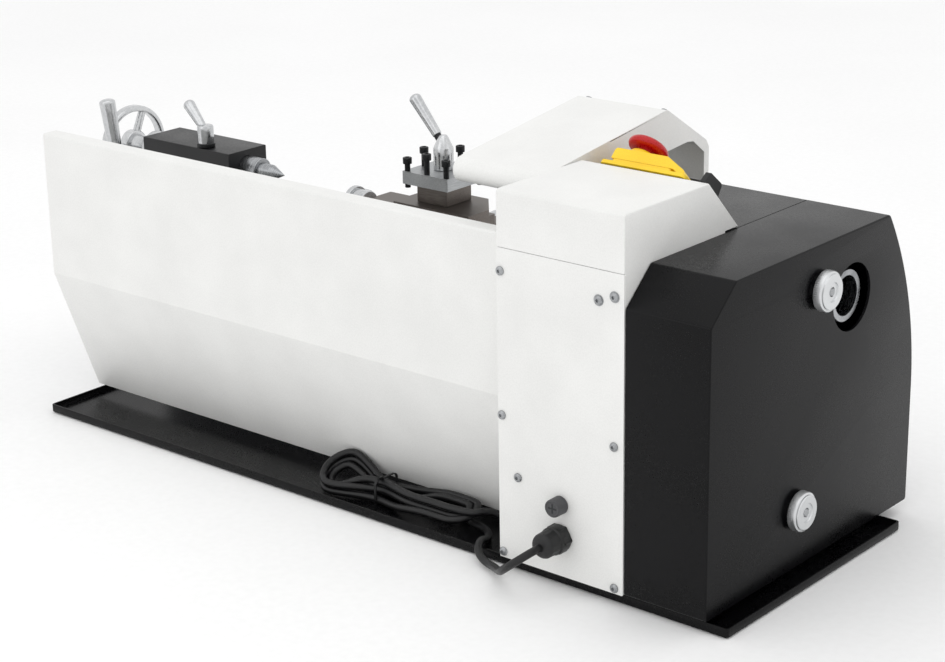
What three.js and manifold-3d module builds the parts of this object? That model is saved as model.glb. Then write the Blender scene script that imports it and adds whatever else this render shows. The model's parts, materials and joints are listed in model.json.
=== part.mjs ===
// A bench-top metalworking mini lathe, in millimetres, +Z up.
// +X runs from the headstock to the tailstock, +Y to the splash guard at the rear.
// The origin is the centre of the chip tray's underside.
import * as THREE from 'three';
import { mergeVertices } from 'three/addons/utils/BufferGeometryUtils.js';
import Module from 'manifold-3d';

// ---------- driving dimensions ----------
const GAP = 0.3; // air between pieces that touch
const TRAY = { length: 900, width: 294, rim: 9, sheet: 2 };
const AXIS = { y: -72, z: 250 }; // spindle and tailstock centre line
const BED = { left: -338, right: 440, front: -124, rear: -20, bottom: 22, top: 145 };
const RAIL = { height: 6, front: -110, rear: -34 }; // the V ridges of the bed
const HEAD = { left: -338, right: -204, front: -126, rear: -4, top: 302 };
const COVER = { left: -343, right: -204, front: -190.5, top: 312.6, sheet: 2.5 };
const COVER_CURVE = { top: -135.7, bottom: 130 }; // y where the curve starts, z where it ends
const END = { left: -431.3, right: -344, rear: 153.5, bottom: 12 };
const BOX = { left: -343, right: -202.4, bottom: 11.6, sheet: 2 };
const PANEL = { front: 152.8, rear: 154.3, top: 310.4 };
const SLOPE = { y: 6.25, z: 339.35, angle: Math.atan2(48.3, 46.5) }; // control face of the box
const MOTOR = { y: 84, z: 92, radius: 46, pulley: 16, shaft: 7 };
const SPINDLE = { radius: 25, bore: 19, left: -425, flange: -200, nose: -186, pulley: 38 };
const GEAR = { module: 3, left: -394, right: -384, addendum: 2.4, dedendum: 3.5 };
const TEETH = { spindle: 22, idler: 40, leadscrew: 20 };
const TRAIN_ANGLE = Math.atan2(-0.9028, -0.43); // from the spindle down to the leadscrew
const STUD_UPPER = { y: -17, z: 271 };
const STUD_LOWER = { y: 13.5, z: 71 };
const GUARD = { left: -201.8, right: 451, rear: 127.3, sheet: 1.6 };
const HOOD = { left: -199, right: -92, pivotY: 72, pivotZ: 348, roll: 12, sheet: 1.5 };
const TOOL = { x: 126, y: -154, post: 64, waist: 42 };
const TAIL = { left: 345, right: 485, front: -101, rear: -43, bottom: 222, top: 271 };
const QUILL = { radius: 14, left: 322, right: 465, socket: 9.4 };
const GLAND = { x: -273.5, z: 50 };
const FUSE = { x: -274, z: 82 };
const CORD = { radius: 3.75 };

// ---------- colours ----------
const black = (roughness = 0.3) => finish(0x111214, roughness, 0.1);
const white = () => finish(0xe6e4dc, 0.5, 0.05);
const steel = () => finish(0x8f9296, 0.4, 0.9);
const chrome = () => finish(0xc4c6c8, 0.2, 1);
const castIron = () => finish(0x6b6e71, 0.6, 0.7);
const rubber = () => finish(0x1b1b1c, 0.8, 0);
const aluminium = () => finish(0xb4b6b8, 0.35, 0.9);

function finish(color, roughness, metalness) {
  return new THREE.MeshStandardMaterial({ color, roughness, metalness });
}

// ---------- solids ----------
const wasm = await Module();
wasm.setup();

function solidOf(geometry) {
  geometry.deleteAttribute('normal');
  geometry.deleteAttribute('uv');
  const merged = mergeVertices(geometry, 1e-4);
  const index = merged.index.array;
  const corners = [];
  for (let i = 0; i < index.length; i += 3) {
    const [a, b, c] = [index[i], index[i + 1], index[i + 2]];
    if (a !== b && b !== c && c !== a) corners.push(a, b, c);
  }
  return new wasm.Manifold(new wasm.Mesh({
    numProp: 3,
    vertProperties: merged.attributes.position.array,
    triVerts: new Uint32Array(corners),
  }));
}

function piece(name, solid, material, position = [0, 0, 0]) {
  const { vertProperties, triVerts } = solid.getMesh();
  const geometry = new THREE.BufferGeometry();
  geometry.setAttribute('position', new THREE.BufferAttribute(vertProperties, 3));
  geometry.setIndex(new THREE.BufferAttribute(triVerts, 1));
  geometry.computeVertexNormals();
  const mesh = new THREE.Mesh(geometry, material);
  mesh.name = name;
  mesh.position.set(...position);
  return mesh;
}

const X = new THREE.Vector3(1, 0, 0);
const Y = new THREE.Vector3(0, 1, 0);
const Z = new THREE.Vector3(0, 0, 1);

function moved(geometry, u, v, w, origin) {
  const matrix = new THREE.Matrix4().makeBasis(u, v, w).setPosition(...origin);
  return solidOf(geometry.applyMatrix4(matrix));
}

function shapeOf(outline, holes = []) {
  const shape = outline instanceof THREE.Shape ? outline : new THREE.Shape(points2(outline));
  for (const hole of holes) {
    shape.holes.push(Array.isArray(hole) ? new THREE.Path(points2(hole)) : hole);
  }
  return shape;
}

function points2(pairs) {
  return pairs.map(([a, b]) => new THREE.Vector2(a, b));
}

function extruded(shape, depth) {
  return new THREE.ExtrudeGeometry(shape, { depth, bevelEnabled: false, curveSegments: 9 });
}

// An outline in (y, z), drawn out from x0 to x1
function alongX(outline, x0, x1, holes = []) {
  return moved(extruded(shapeOf(outline, holes), x1 - x0), Y, Z, X, [x0, 0, 0]);
}

// An outline in (x, z), drawn out from y0 to y1
function alongY(outline, y0, y1, holes = []) {
  const back = Y.clone().negate();
  return moved(extruded(shapeOf(outline, holes), y1 - y0), X, Z, back, [0, y1, 0]);
}

// An outline in (x, y), drawn out from z0 to z1
function alongZ(outline, z0, z1, holes = []) {
  return moved(extruded(shapeOf(outline, holes), z1 - z0), X, Y, Z, [0, 0, z0]);
}

function rectangle(a0, a1, b0, b1) {
  return [[a0, b0], [a1, b0], [a1, b1], [a0, b1]];
}

function box(x0, x1, y0, y1, z0, z1) {
  return alongZ(rectangle(x0, x1, y0, y1), z0, z1);
}

function circle(a, b, radius) {
  return new THREE.Shape().absarc(a, b, radius, 0, 2 * Math.PI, false);
}

function profileOf(pairs) {
  return pairs.map(([along, radius]) => new THREE.Vector2(radius, along));
}

// Turned pieces: a profile of [place along the axis, radius] pairs
function turnedX(pairs, y = 0, z = 0, segments = 28) {
  return moved(new THREE.LatheGeometry(profileOf(pairs), segments), Z, X, Y, [0, y, z]);
}

function turnedY(pairs, x = 0, z = 0, segments = 28) {
  return moved(new THREE.LatheGeometry(profileOf(pairs), segments), X, Y, Z, [x, 0, z]);
}

function turnedZ(pairs, x = 0, y = 0, segments = 28) {
  return moved(new THREE.LatheGeometry(profileOf(pairs), segments), Y, Z, X, [x, y, 0]);
}

function disc(from, to, radius) {
  return [[from, 0], [from, radius], [to, radius], [to, 0]];
}

function ring(from, to, inner, outer) {
  return [[from, inner], [from, outer], [to, outer], [to, inner], [from, inner]];
}

// A straight tapered rod with a domed far end
function rod(from, to, startRadius, endRadius, segments = 12) {
  const a = new THREE.Vector3(...from);
  const along = new THREE.Vector3(...to).sub(a);
  const length = along.length();
  const dome = endRadius * 0.7;
  const profile = [[0, 0], [0, startRadius], [length - dome, endRadius], [length, dome], [length, 0]];
  const geometry = new THREE.LatheGeometry(profileOf(profile), segments);
  geometry.applyQuaternion(new THREE.Quaternion().setFromUnitVectors(Y, along.normalize()));
  return solidOf(geometry.translate(...from));
}

// Points moved to the left of a path by a distance, with sharp corners
function offset(points, distance, closed = false) {
  const count = points.length;
  const direction = (i) => {
    const [a, b] = [points[i % count], points[(i + 1) % count]];
    const length = Math.hypot(b[0] - a[0], b[1] - a[1]);
    return [(b[0] - a[0]) / length, (b[1] - a[1]) / length];
  };
  return points.map((point, i) => {
    const after = closed || i < count - 1 ? direction(i) : direction(i - 1);
    const before = closed || i > 0 ? direction(i + count - 1) : after;
    const reach = distance / (1 + before[0] * after[0] + before[1] * after[1]);
    return [point[0] - reach * (before[1] + after[1]), point[1] + reach * (before[0] + after[0])];
  });
}

// The cross-section of a sheet folded along a path
function folded(path, sheet) {
  return [...path, ...offset(path, sheet).reverse()];
}

// The outline of a band around two circles, such as a belt or a link
function band(ay, az, ar, by, bz, br) {
  const apart = Math.hypot(by - ay, bz - az);
  const line = Math.atan2(bz - az, by - ay);
  const spread = Math.acos((ar - br) / apart);
  return new THREE.Shape()
    .absarc(ay, az, ar, line + spread, line - spread + 2 * Math.PI, false)
    .absarc(by, bz, br, line - spread, line + spread, false);
}

// ---------- outlines that several pieces share ----------
// The curved front of both headstock covers, from the top edge down to the straight wall
function coverCurve(steps = 7) {
  const across = COVER_CURVE.top - COVER.front;
  const rise = COVER.top - COVER_CURVE.bottom;
  const radius = (across * across + rise * rise) / (2 * across);
  const sweep = Math.asin(rise / radius);
  return Array.from({ length: steps + 1 }, (_, i) => {
    const angle = sweep * (1 - i / steps);
    const y = COVER.front + radius * (1 - Math.cos(angle));
    return [y, COVER_CURVE.bottom + radius * Math.sin(angle)];
  });
}

// The grooves that ride on the two V ridges of the bed
function railGrooves(x0, x1) {
  const half = RAIL.height + 1.5;
  const groove = (y) => alongX([[y - half, BED.top], [y + half, BED.top], [y, BED.top + half]], x0, x1);
  return groove(RAIL.front).add(groove(RAIL.rear));
}

function gearCentre(teethAway) {
  const reach = GEAR.module * teethAway / 2;
  return [AXIS.y + reach * Math.cos(TRAIN_ANGLE), AXIS.z + reach * Math.sin(TRAIN_ANGLE)];
}

const IDLER = gearCentre(TEETH.spindle + TEETH.idler);
const LEADSCREW = gearCentre(TEETH.spindle + 2 * TEETH.idler + TEETH.leadscrew);

// A spur gear with one tooth pointing along the phase angle
function gear(teeth, phase, centre, bore) {
  const pitch = GEAR.module * teeth / 2;
  const [root, tip] = [pitch - GEAR.dedendum, pitch + GEAR.addendum];
  const outline = [];
  for (let i = 0; i < teeth; i += 1) {
    const middle = phase + 2 * Math.PI * i / teeth;
    for (const [radius, halfWidth] of [[root, -2.6], [tip, -1], [tip, 1], [root, 2.6]]) {
      const angle = middle + halfWidth / radius;
      outline.push([centre[0] + radius * Math.cos(angle), centre[1] + radius * Math.sin(angle)]);
    }
  }
  const hole = turnedX(disc(GEAR.left - 1, GEAR.right + 1, bore), ...centre, 20);
  return alongX(outline, GEAR.left, GEAR.right).subtract(hole);
}

// ---------- bed and tray ----------
function chipTray() {
  const [x, y] = [TRAY.length / 2, TRAY.width / 2];
  const hollow = box(-x + TRAY.sheet, x - TRAY.sheet, -y + TRAY.sheet, y - TRAY.sheet, TRAY.sheet, TRAY.rim + 1);
  return piece('chip_tray', box(-x, x, -y, y, 0, TRAY.rim).subtract(hollow), black(0.25));
}

function bed() {
  const rail = (y) => [[y + RAIL.height, BED.top], [y, BED.top + RAIL.height], [y - RAIL.height, BED.top]];
  const inner = { front: RAIL.front, rear: RAIL.rear, lipFront: -94, lipRear: -50 };
  const section = [
    [BED.front, BED.bottom], [BED.rear, BED.bottom], [BED.rear, BED.top], ...rail(RAIL.rear),
    [inner.lipRear, BED.top], [inner.lipRear, 128], [inner.rear, 118], [inner.rear, 36],
    [inner.front, 36], [inner.front, 118], [inner.lipFront, 128], [inner.lipFront, BED.top],
    ...rail(RAIL.front), [BED.front, BED.top],
  ];
  let solid = alongX(section, BED.left, BED.right);
  for (const [x0, x1] of [[-300, -220], [330, 410]]) {
    solid = solid.add(box(x0, x1, BED.front, BED.rear, TRAY.sheet + GAP, BED.bottom + 4));
  }
  return piece('bed', solid, castIron());
}

// ---------- headstock ----------
function headstockCasting() {
  const block = box(HEAD.left, HEAD.right, HEAD.front, HEAD.rear, BED.top + 0.4, HEAD.top);
  const pockets = turnedX(disc(HEAD.right - 18, HEAD.right + 1, 42.8), AXIS.y, AXIS.z)
    .add(turnedX(disc(HEAD.left - 1, HEAD.left + 18, 42.8), AXIS.y, AXIS.z));
  const bore = turnedX(disc(HEAD.left - 1, HEAD.right + 1, 30), AXIS.y, AXIS.z);
  const solid = block.subtract(railGrooves(HEAD.left - 1, HEAD.right + 1)).subtract(bore).subtract(pockets);
  return piece('headstock_casting', solid, castIron());
}

function headstockFrontCover(knobs) {
  const curve = coverCurve();
  const lowest = 14;
  const path = [[1.4, COVER.top], ...curve, [COVER.front, lowest]];
  const shell = alongX(folded(path, COVER.sheet), COVER.left, COVER.right);
  const wall = [
    ...path, [HEAD.front - 0.6, lowest], [HEAD.front - 0.6, HEAD.top + 0.5], [1.4, HEAD.top + 0.5],
  ];
  const endWall = alongX(wall, COVER.right - COVER.sheet, COVER.right, [circle(...LEADSCREW, 10)]);
  let solid = shell.add(endWall);
  for (const [x, z] of knobs) {
    solid = solid.subtract(turnedY(disc(COVER.front - 1, COVER.front + 5, 3.5), x, z, 16));
  }
  return piece('headstock_front_cover', solid, black());
}

function knob(name, x, z) {
  const face = COVER.front - GAP;
  const profile = [
    [face - 18, 0], [face - 18, 13], [face - 15, 16], [face, 16], [face, 3], [face + 10, 3], [face + 10, 0],
  ];
  return piece(name, turnedY(profile, x, z, 24), black(0.5));
}

function spindle() {
  const { radius, bore, left, flange, nose } = SPINDLE;
  const profile = [
    [left, bore], [left, radius], [flange, radius], [flange, 36], [nose, 36], [nose, bore], [left, bore],
  ];
  return piece('spindle', turnedX(profile, AXIS.y, AXIS.z, 28), steel());
}

function bearing(name, from, to) {
  return piece(name, turnedX(ring(from, to, SPINDLE.radius + GAP, 42.5), AXIS.y, AXIS.z, 28), chrome());
}

const JAWS = { slot: 14.6, width: 14, floor: -148, travelRoom: 0.4, face: -130 };

function chuckBody() {
  const { left, right, radius, bore } = { left: -185.7, right: -130.7, radius: 62.5, bore: 16 };
  let solid = turnedX(ring(left, right, bore, radius), 0, 0, 40);
  for (let i = 0; i < 3; i += 1) {
    const slot = alongX(rectangle(0, radius + 5, -JAWS.slot / 2, JAWS.slot / 2), JAWS.floor, right + 1);
    solid = solid.subtract(slot.rotate([120 * i, 0, 0]));
  }
  return piece('chuck_body', solid, steel(), [0, AXIS.y, AXIS.z]);
}

function chuckJaw(number) {
  const start = JAWS.floor + JAWS.travelRoom;
  const side = [
    [start, 22], [start, 56], [JAWS.face, 56], [JAWS.face, 44], [-118, 44], [-118, 33], [-110, 33], [-110, 22],
  ];
  const solid = alongZ(side, -JAWS.width / 2, JAWS.width / 2);
  const jaw = piece(`chuck_jaw_${number}`, solid, steel(), [0, AXIS.y, AXIS.z]);
  jaw.rotation.x = (number - 1) * 2 * Math.PI / 3;
  return jaw;
}

// ---------- drive ----------
function spindlePulleyGear() {
  const bore = SPINDLE.radius + 0.4;
  const [hub, lip] = [28, SPINDLE.pulley + 2];
  const profile = [
    [GEAR.right - 1, bore], [GEAR.right - 1, hub], [-372, hub], [-372, lip], [-370.5, lip],
    [-370.5, SPINDLE.pulley], [-355.5, SPINDLE.pulley], [-355.5, lip], [-354, lip], [-354, bore],
    [GEAR.right - 1, bore],
  ];
  const pulley = turnedX(profile, AXIS.y, AXIS.z, 20);
  const wheel = gear(TEETH.spindle, TRAIN_ANGLE, [AXIS.y, AXIS.z], bore);
  return piece('spindle_pulley_gear', pulley.add(wheel), steel());
}

function idlerGear() {
  const phase = TRAIN_ANGLE + Math.PI + Math.PI / TEETH.idler;
  return piece('idler_gear', gear(TEETH.idler, phase, IDLER, 6.4), black(0.5));
}

function leadscrewGear() {
  return piece('leadscrew_gear', gear(TEETH.leadscrew, TRAIN_ANGLE + Math.PI, LEADSCREW, 8.3), black(0.5));
}

function banjo() {
  const [left, right] = [-381, -376];
  const foot = [-118, 216];
  const arm = alongX(band(...LEADSCREW, 13, ...IDLER, 13), left, right)
    .add(alongX(band(...IDLER, 13, ...foot, 9.01), left, right));
  const solid = arm.subtract(turnedX(disc(left - 1, right + 1, 10), ...LEADSCREW))
    .add(turnedX(disc(-397, right, 6), ...IDLER, 20))
    .add(turnedX(disc(left, HEAD.left - GAP, 7), ...foot, 20));
  return piece('banjo', solid, castIron());
}

function motor() {
  const shell = turnedX([
    [-330, 0], [-330, 38], [-326, MOTOR.radius], [-218, MOTOR.radius], [-214, 38], [-214, 0],
  ], MOTOR.y, MOTOR.z, 32);
  const foot = box(-310, -240, MOTOR.y - 26, MOTOR.y + 26, BOX.bottom + BOX.sheet + GAP, MOTOR.z - 20);
  return piece('motor', shell.add(foot), black(0.6));
}

function motorPulley() {
  const r = MOTOR.pulley;
  const profile = [
    [-372, 0], [-372, r + 2], [-370.5, r + 2], [-370.5, r], [-355.5, r], [-355.5, r + 2], [-354, r + 2],
    [-354, MOTOR.shaft], [-330.3, MOTOR.shaft], [-330.3, 0],
  ];
  return piece('motor_pulley', turnedX(profile, MOTOR.y, MOTOR.z, 24), steel());
}

function driveBelt() {
  const loop = (thick) => band(
    AXIS.y, AXIS.z, SPINDLE.pulley + GAP + thick, MOTOR.y, MOTOR.z, MOTOR.pulley + GAP + thick,
  );
  return piece('drive_belt', alongX(loop(4), -370, -356, [loop(0)]), rubber());
}

function leadscrew() {
  return piece('leadscrew', turnedX(disc(-400, 428, 8), ...LEADSCREW, 20), steel());
}

function leadscrewBracket() {
  const outline = rectangle(-166, BED.front - GAP, 66, 102);
  return piece('leadscrew_bracket', alongX(outline, 414, 430, [circle(...LEADSCREW, 8.4)]), castIron());
}

// ---------- end cover ----------
function coverStud(name, start, stud) {
  return piece(name, turnedX(disc(-444, start, 4), stud.y, stud.z, 16), steel());
}

function endCover() {
  const outline = [
    [END.rear, END.bottom], [END.rear, 280], [117, COVER.top], ...coverCurve(), [COVER.front, END.bottom],
  ];
  const skirt = alongX(outline, END.left, END.right, [offset(outline, COVER.sheet, true)]);
  const holes = [
    circle(AXIS.y, AXIS.z, 32), circle(STUD_UPPER.y, STUD_UPPER.z, 4.6), circle(STUD_LOWER.y, STUD_LOWER.z, 4.6),
  ];
  const plate = alongX(outline, END.left, END.left + COVER.sheet, holes);
  return piece('end_cover', skirt.add(plate), black());
}

function thumbNut(name, stud) {
  const seat = END.left - GAP;
  const profile = [
    [seat - 12.9, 4.4], [seat - 12.9, 16], [seat - 10.5, 19], [seat - 4, 19], [seat - 4, 12], [seat, 12], [seat, 4.4],
    [seat - 12.9, 4.4],
  ];
  return piece(name, turnedX(profile, stud.y, stud.z, 28), chrome());
}

// ---------- electrics box ----------
function electricsHousing() {
  const outline = [
    [2, BOX.bottom], [152.5, BOX.bottom], [152.5, 311], [PANEL.rear, 311], [PANEL.rear, 363.5], [29.5, 363.5],
    [-18.8, 313.3], [2, 313.3],
  ];
  const hollow = alongX(offset(outline, BOX.sheet, true), BOX.left + BOX.sheet, BOX.right - BOX.sheet);
  const shaftHole = turnedX(disc(BOX.left - 1, BOX.left + 5, 12), MOTOR.y, MOTOR.z, 20);
  const doorway = box(BOX.left + 10, BOX.right - 10, 140, 160, BOX.bottom + 10, 300);
  const solid = alongX(outline, BOX.left, BOX.right).subtract(hollow).subtract(shaftHole).subtract(doorway);
  return piece('electrics_housing', solid, white());
}

function rearPanel() {
  const holes = [circle(GLAND.x, GLAND.z, 10), circle(FUSE.x, FUSE.z, 6.5)];
  const outline = rectangle(BOX.left, BOX.right, BOX.bottom, PANEL.top);
  return piece('rear_panel', alongY(outline, PANEL.front, PANEL.rear, holes), white());
}

function fuseHolder() {
  const seat = PANEL.rear + GAP;
  const profile = [[135, 0], [135, 6], [seat, 6], [seat, 8.5], [166, 8.5], [169, 7], [169, 0]];
  return piece('fuse_holder', turnedY(profile, FUSE.x, FUSE.z, 20), black(0.6));
}

function cableGland() {
  const seat = PANEL.rear + GAP;
  const inside = turnedY(disc(146, seat + 1, 9.5), GLAND.x, GLAND.z, 20);
  const hex = turnedY(disc(seat, 167, 14), GLAND.x, GLAND.z, 6);
  const dome = turnedY([[166, 0], [166, 11.5], [178, 11], [183, 8], [185, 6], [185, 0]], GLAND.x, GLAND.z, 20);
  return piece('cable_gland', inside.add(hex).add(dome), black(0.6));
}

// Pieces on the sloping control face, in the face's own frame: x along, y up the slope, z off it
function slopePieces() {
  const group = new THREE.Group();
  group.position.set(0, SLOPE.y, SLOPE.z);
  group.rotation.x = SLOPE.angle;
  group.add(controlBezel(), stopSwitchBase(), stopSwitchLid(), stopButton());
  return group;
}

const STOP = { x: -239, plate: 3.3, base: 13.3, lidTop: 25, hinge: -223 };

function controlBezel() {
  const cheek = alongX([[34, 0.3], [32, 12], [8.4, 15], [4.9, 0.3]], -338, -333);
  return piece('control_bezel', box(-338, -206, -31, 27, GAP, STOP.plate).add(cheek), black());
}

function stopSwitchBase() {
  const flange = box(-312, -218, -30, 30, STOP.plate + GAP, 7);
  return piece('stop_switch_base', flange.add(box(-290, -224.5, -23, 23, 6, STOP.base)), finish(0xe0b400, 0.4, 0));
}

function stopSwitchLid() {
  const low = STOP.base + GAP;
  const side = [
    [STOP.hinge, low], [STOP.hinge, STOP.lidTop - 2], [STOP.hinge - 2, STOP.lidTop], [-280, STOP.lidTop],
    [-284, STOP.lidTop - 3], [-304, 14], [-306, 9], [-300, 9], [-292, low],
  ];
  const solid = alongY(side, -23, 23).subtract(turnedZ(disc(0, 30, 9.6), STOP.x, 0, 24));
  return piece('stop_switch_lid', solid, finish(0xe0b400, 0.4, 0));
}

function stopButton() {
  const head = 38;
  const profile = [
    [17.8, 0], [17.8, 9], [head, 9], [head, 18], [head + 2.5, 20], [head + 7, 18.5], [head + 10.5, 12], [head + 12, 0],
  ];
  return piece('stop_button', turnedZ(profile, STOP.x, 0, 28), finish(0xc01818, 0.35, 0));
}

// ---------- guards ----------
function splashGuard() {
  const path = [[109, 313.3], [GUARD.rear, 313.3], [GUARD.rear, 156.8], [76, 12.9]];
  const section = folded(path.toReversed(), GUARD.sheet);
  return piece('splash_guard', alongX(section, GUARD.left, GUARD.right), white());
}

function chuckGuard() {
  const { left, right, pivotY, pivotZ, roll, sheet } = HOOD;
  const [crown, brow] = [[-110, 383.6], [-177, 341]];
  const path = [[70.4, 359.9], crown, brow, [-182, 333], [-182, 236]];
  const cheek = [...path, [-174, 236], [-174, 329], [-155, 343.5], [-145, 345], [40, 330], [66, 337]];
  const barrel = turnedX(ring(left, right, 5.6, roll), pivotY, pivotZ, 24);
  const opening = offset([crown, brow].map(([y, z], i) => (i ? [y + 9, z + 5.7] : [y - 9, z - 5.7])), -4);
  const window = alongX([...opening, ...offset(opening, 9).reverse()], left + 21, right - 20);
  const solid = alongX(folded(path, sheet), left, right)
    .add(alongX(cheek, left, left + sheet))
    .add(alongX(cheek, right - sheet, right))
    .subtract(turnedX(disc(left - 1, right + 1, 8), pivotY, pivotZ, 20))
    .add(barrel)
    .subtract(window);
  const pane = offset([[-113, 381.69], [-173, 343.54]], -GAP);
  const glazing = alongX([...pane, ...offset(pane, -2).reverse()], left + 13, right - 12);
  return [piece('chuck_guard', solid, white()), piece('guard_window', glazing, finish(0xdfe8ea, 0.1, 0))];
}

function guardPivotRod() {
  const profile = disc(BOX.right + GAP, HOOD.right + 7, 5);
  return piece('guard_pivot_rod', turnedX(profile, HOOD.pivotY, HOOD.pivotZ, 20), steel());
}

// ---------- carriage ----------
const SADDLE = { left: 62, right: 190, front: -132, rear: -8, top: 172, shelf: -172 };
const LEVEL = { apron: 149.6, cross: 172.4, crossTop: 200, base: 200.3, baseTop: 214, slide: 214.3, slideTop: 230 };

function saddle() {
  const { left, right, front, rear, top, shelf } = SADDLE;
  const dovetail = alongY([[104, top - 1], [148, top - 1], [152, 180], [100, 180]], shelf, rear);
  const solid = box(left, right, front, rear, BED.top + 0.4, top)
    .subtract(railGrooves(left - 1, right + 1))
    .add(box(70, 180, shelf, front + 2, 150, top))
    .add(dovetail);
  return piece('saddle', solid, castIron());
}

function apron() {
  const outline = rectangle(-176, SADDLE.front - 0.4, 60, LEVEL.apron);
  return piece('apron', alongX(outline, 70, 180, [circle(...LEADSCREW, 9.5)]), black());
}

// A spoked handwheel on a shaft: the axis is Y, and the wheel lies on the +Y end of the shaft
function handwheel({ radius, rim, depth, hub, shaft, reach, spokes, grip }) {
  let solid = turnedY(ring(reach, reach + depth, radius - rim, radius), 0, 0, 28)
    .add(turnedY(disc(reach, reach + depth, hub), 0, 0, 20))
    .add(turnedY(disc(0, reach + 1, shaft), 0, 0, 20));
  for (let i = 0; i < spokes; i += 1) {
    const angle = 2 * Math.PI * i / spokes;
    const middle = reach + depth / 2;
    const [x, z] = [Math.cos(angle), Math.sin(angle)];
    const far = radius - rim / 2;
    solid = solid.add(rod([x * hub / 2, middle, z * hub / 2], [x * far, middle, z * far], 5, 4.5, 8));
  }
  const place = radius - rim / 2;
  return solid.add(rod([place, reach + depth / 2, 0], [place, reach + depth + grip, 0], 4, 6.5, 12));
}

function apronHandwheel() {
  const solid = handwheel({ radius: 45, rim: 7, depth: 11, hub: 13, shaft: 8, reach: 12, spokes: 3, grip: 25 });
  const mesh = piece('apron_handwheel', solid, chrome(), [100, -176 - GAP, 100]);
  mesh.rotation.set(Math.PI, Math.PI / 2, 0);
  return mesh;
}

function halfNutLever() {
  const [x, z, face] = [160, 110, -176 - GAP];
  const solid = turnedY(disc(face - 14, face, 9), x, z, 20)
    .add(rod([x, face - 9, z], [x + 38, face - 9, z - 12], 4, 7));
  return piece('half_nut_lever', solid, chrome());
}

function crossSlide() {
  const channel = [[103.3, 170], [148.7, 170], [152.8, 180.6], [99.2, 180.6]];
  const solid = box(91, 161, -222, -78, LEVEL.cross, LEVEL.crossTop).subtract(alongY(channel, -230, -70));
  return piece('cross_slide', solid, castIron());
}

function crossSlideHandwheel() {
  const solid = handwheel({ radius: 34, rim: 6, depth: 10, hub: 12, shaft: 7, reach: 61, spokes: 3, grip: 22 });
  const mesh = piece('cross_slide_handwheel', solid, chrome(), [TOOL.x, SADDLE.shelf - GAP, 160]);
  mesh.rotation.set(Math.PI, Math.PI / 3, 0);
  return mesh;
}

function topSlideBase() {
  return piece('top_slide_base', box(84, 238, -190, -118, LEVEL.base, LEVEL.baseTop), steel());
}

function topSlide() {
  const outline = [[92, -188], [170, -188], [170, -119], [63, -119], [63, -154]];
  const stud = turnedZ(disc(LEVEL.slideTop - 1, 268, 7), TOOL.x, TOOL.y, 20);
  return piece('top_slide', alongZ(outline, LEVEL.slide, LEVEL.slideTop).add(stud), steel());
}

function topSlideHandle() {
  const [start, y, z] = [238.3, TOOL.y, 207];
  const profile = [[start, 0], [start, 15], [256, 15], [256, 18], [262, 18], [262, 8], [272, 8], [272, 0]];
  const solid = turnedX(profile, y, z, 24)
    .add(rod([267, y - 30, z], [267, y + 32, z], 4.5, 4.5))
    .add(rod([264, y - 30, z], [284, y - 30, z], 6, 5));
  return piece('top_slide_handle', solid, chrome());
}

function toolPost() {
  const square = (side) => {
    const half = side / 2;
    return rectangle(TOOL.x - half, TOOL.x + half, TOOL.y - half, TOOL.y + half);
  };
  const solid = alongZ(square(TOOL.waist), 230.4, 252).add(alongZ(square(TOOL.post), 251, 265))
    .subtract(turnedZ(disc(229, 266, 7.4), TOOL.x, TOOL.y, 20));
  return piece('tool_post', solid, steel());
}

function toolPostLever() {
  const hub = turnedZ([[265.3, 0], [265.3, 9.8], [290, 9.8], [303, 5.5], [303, 0]], TOOL.x, TOOL.y, 24)
    .subtract(turnedZ(disc(264, 271, 7.4), TOOL.x, TOOL.y, 20));
  const lever = rod([TOOL.x + 1, TOOL.y, 293], [168, TOOL.y, 341.5], 4.5, 6.5, 16);
  return piece('tool_post_lever', hub.add(lever), chrome());
}

// ---------- tailstock ----------
function tailstockBody() {
  const { left, right, front, rear, bottom, top } = TAIL;
  const base = box(352, 440, -126, -18, BED.top + 0.4, 168).subtract(railGrooves(351, 441));
  const upright = box(356, 470, front, rear, 167, bottom + 2);
  const barrel = box(left, right, front, rear, bottom, top);
  const bore = turnedX(disc(left - 1, right + 1, QUILL.radius + 0.4), AXIS.y, AXIS.z, 28);
  return piece('tailstock_body', base.add(upright).add(barrel).subtract(bore), black());
}

function quill() {
  const { left, right, radius, socket } = QUILL;
  const deep = left + 70;
  const profile = [[left, socket], [left, radius], [right, radius], [right, 0], [deep, 0], [deep, socket], [left, socket]];
  return piece('quill', turnedX(profile, AXIS.y, AXIS.z, 28), steel());
}

function deadCentre() {
  const profile = [[287.7, 0], [307, 9], [385, 9], [385, 0]];
  return piece('dead_centre', turnedX(profile, AXIS.y, AXIS.z, 20), steel());
}

function quillClampLever() {
  const [x, y, seat] = [392, -54, TAIL.top + GAP];
  const solid = turnedZ(disc(seat, 296, 9.2), x, y, 20).add(rod([x, y, 290], [426, -60, 317], 4.5, 7, 14));
  return piece('quill_clamp_lever', solid, chrome());
}

function tailstockHandwheel() {
  const seat = TAIL.right + 1;
  const dial = turnedY(disc(0, 14, 20), 0, 0, 28);
  const solid = handwheel({ radius: 45, rim: 7, depth: 12, hub: 16, shaft: 12, reach: 44, spokes: 3, grip: 33 });
  const mesh = piece('tailstock_handwheel', solid.add(dial), chrome(), [seat, AXIS.y, AXIS.z]);
  mesh.rotation.set(0.94, 0, -Math.PI / 2, 'XYZ');
  return mesh;
}

function tailstockLockLever() {
  const [x, z, seat] = [462, 205, TAIL.rear + GAP];
  const solid = turnedY(disc(seat, 14, 8), x, z, 20)
    .add(rod([x, 8, z], [477, 8, 282], 4, 4, 12))
    .add(rod([475, 8, 270], [484, 8, 325], 8, 9, 14));
  return piece('tailstock_lock_lever', solid, chrome());
}

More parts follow.
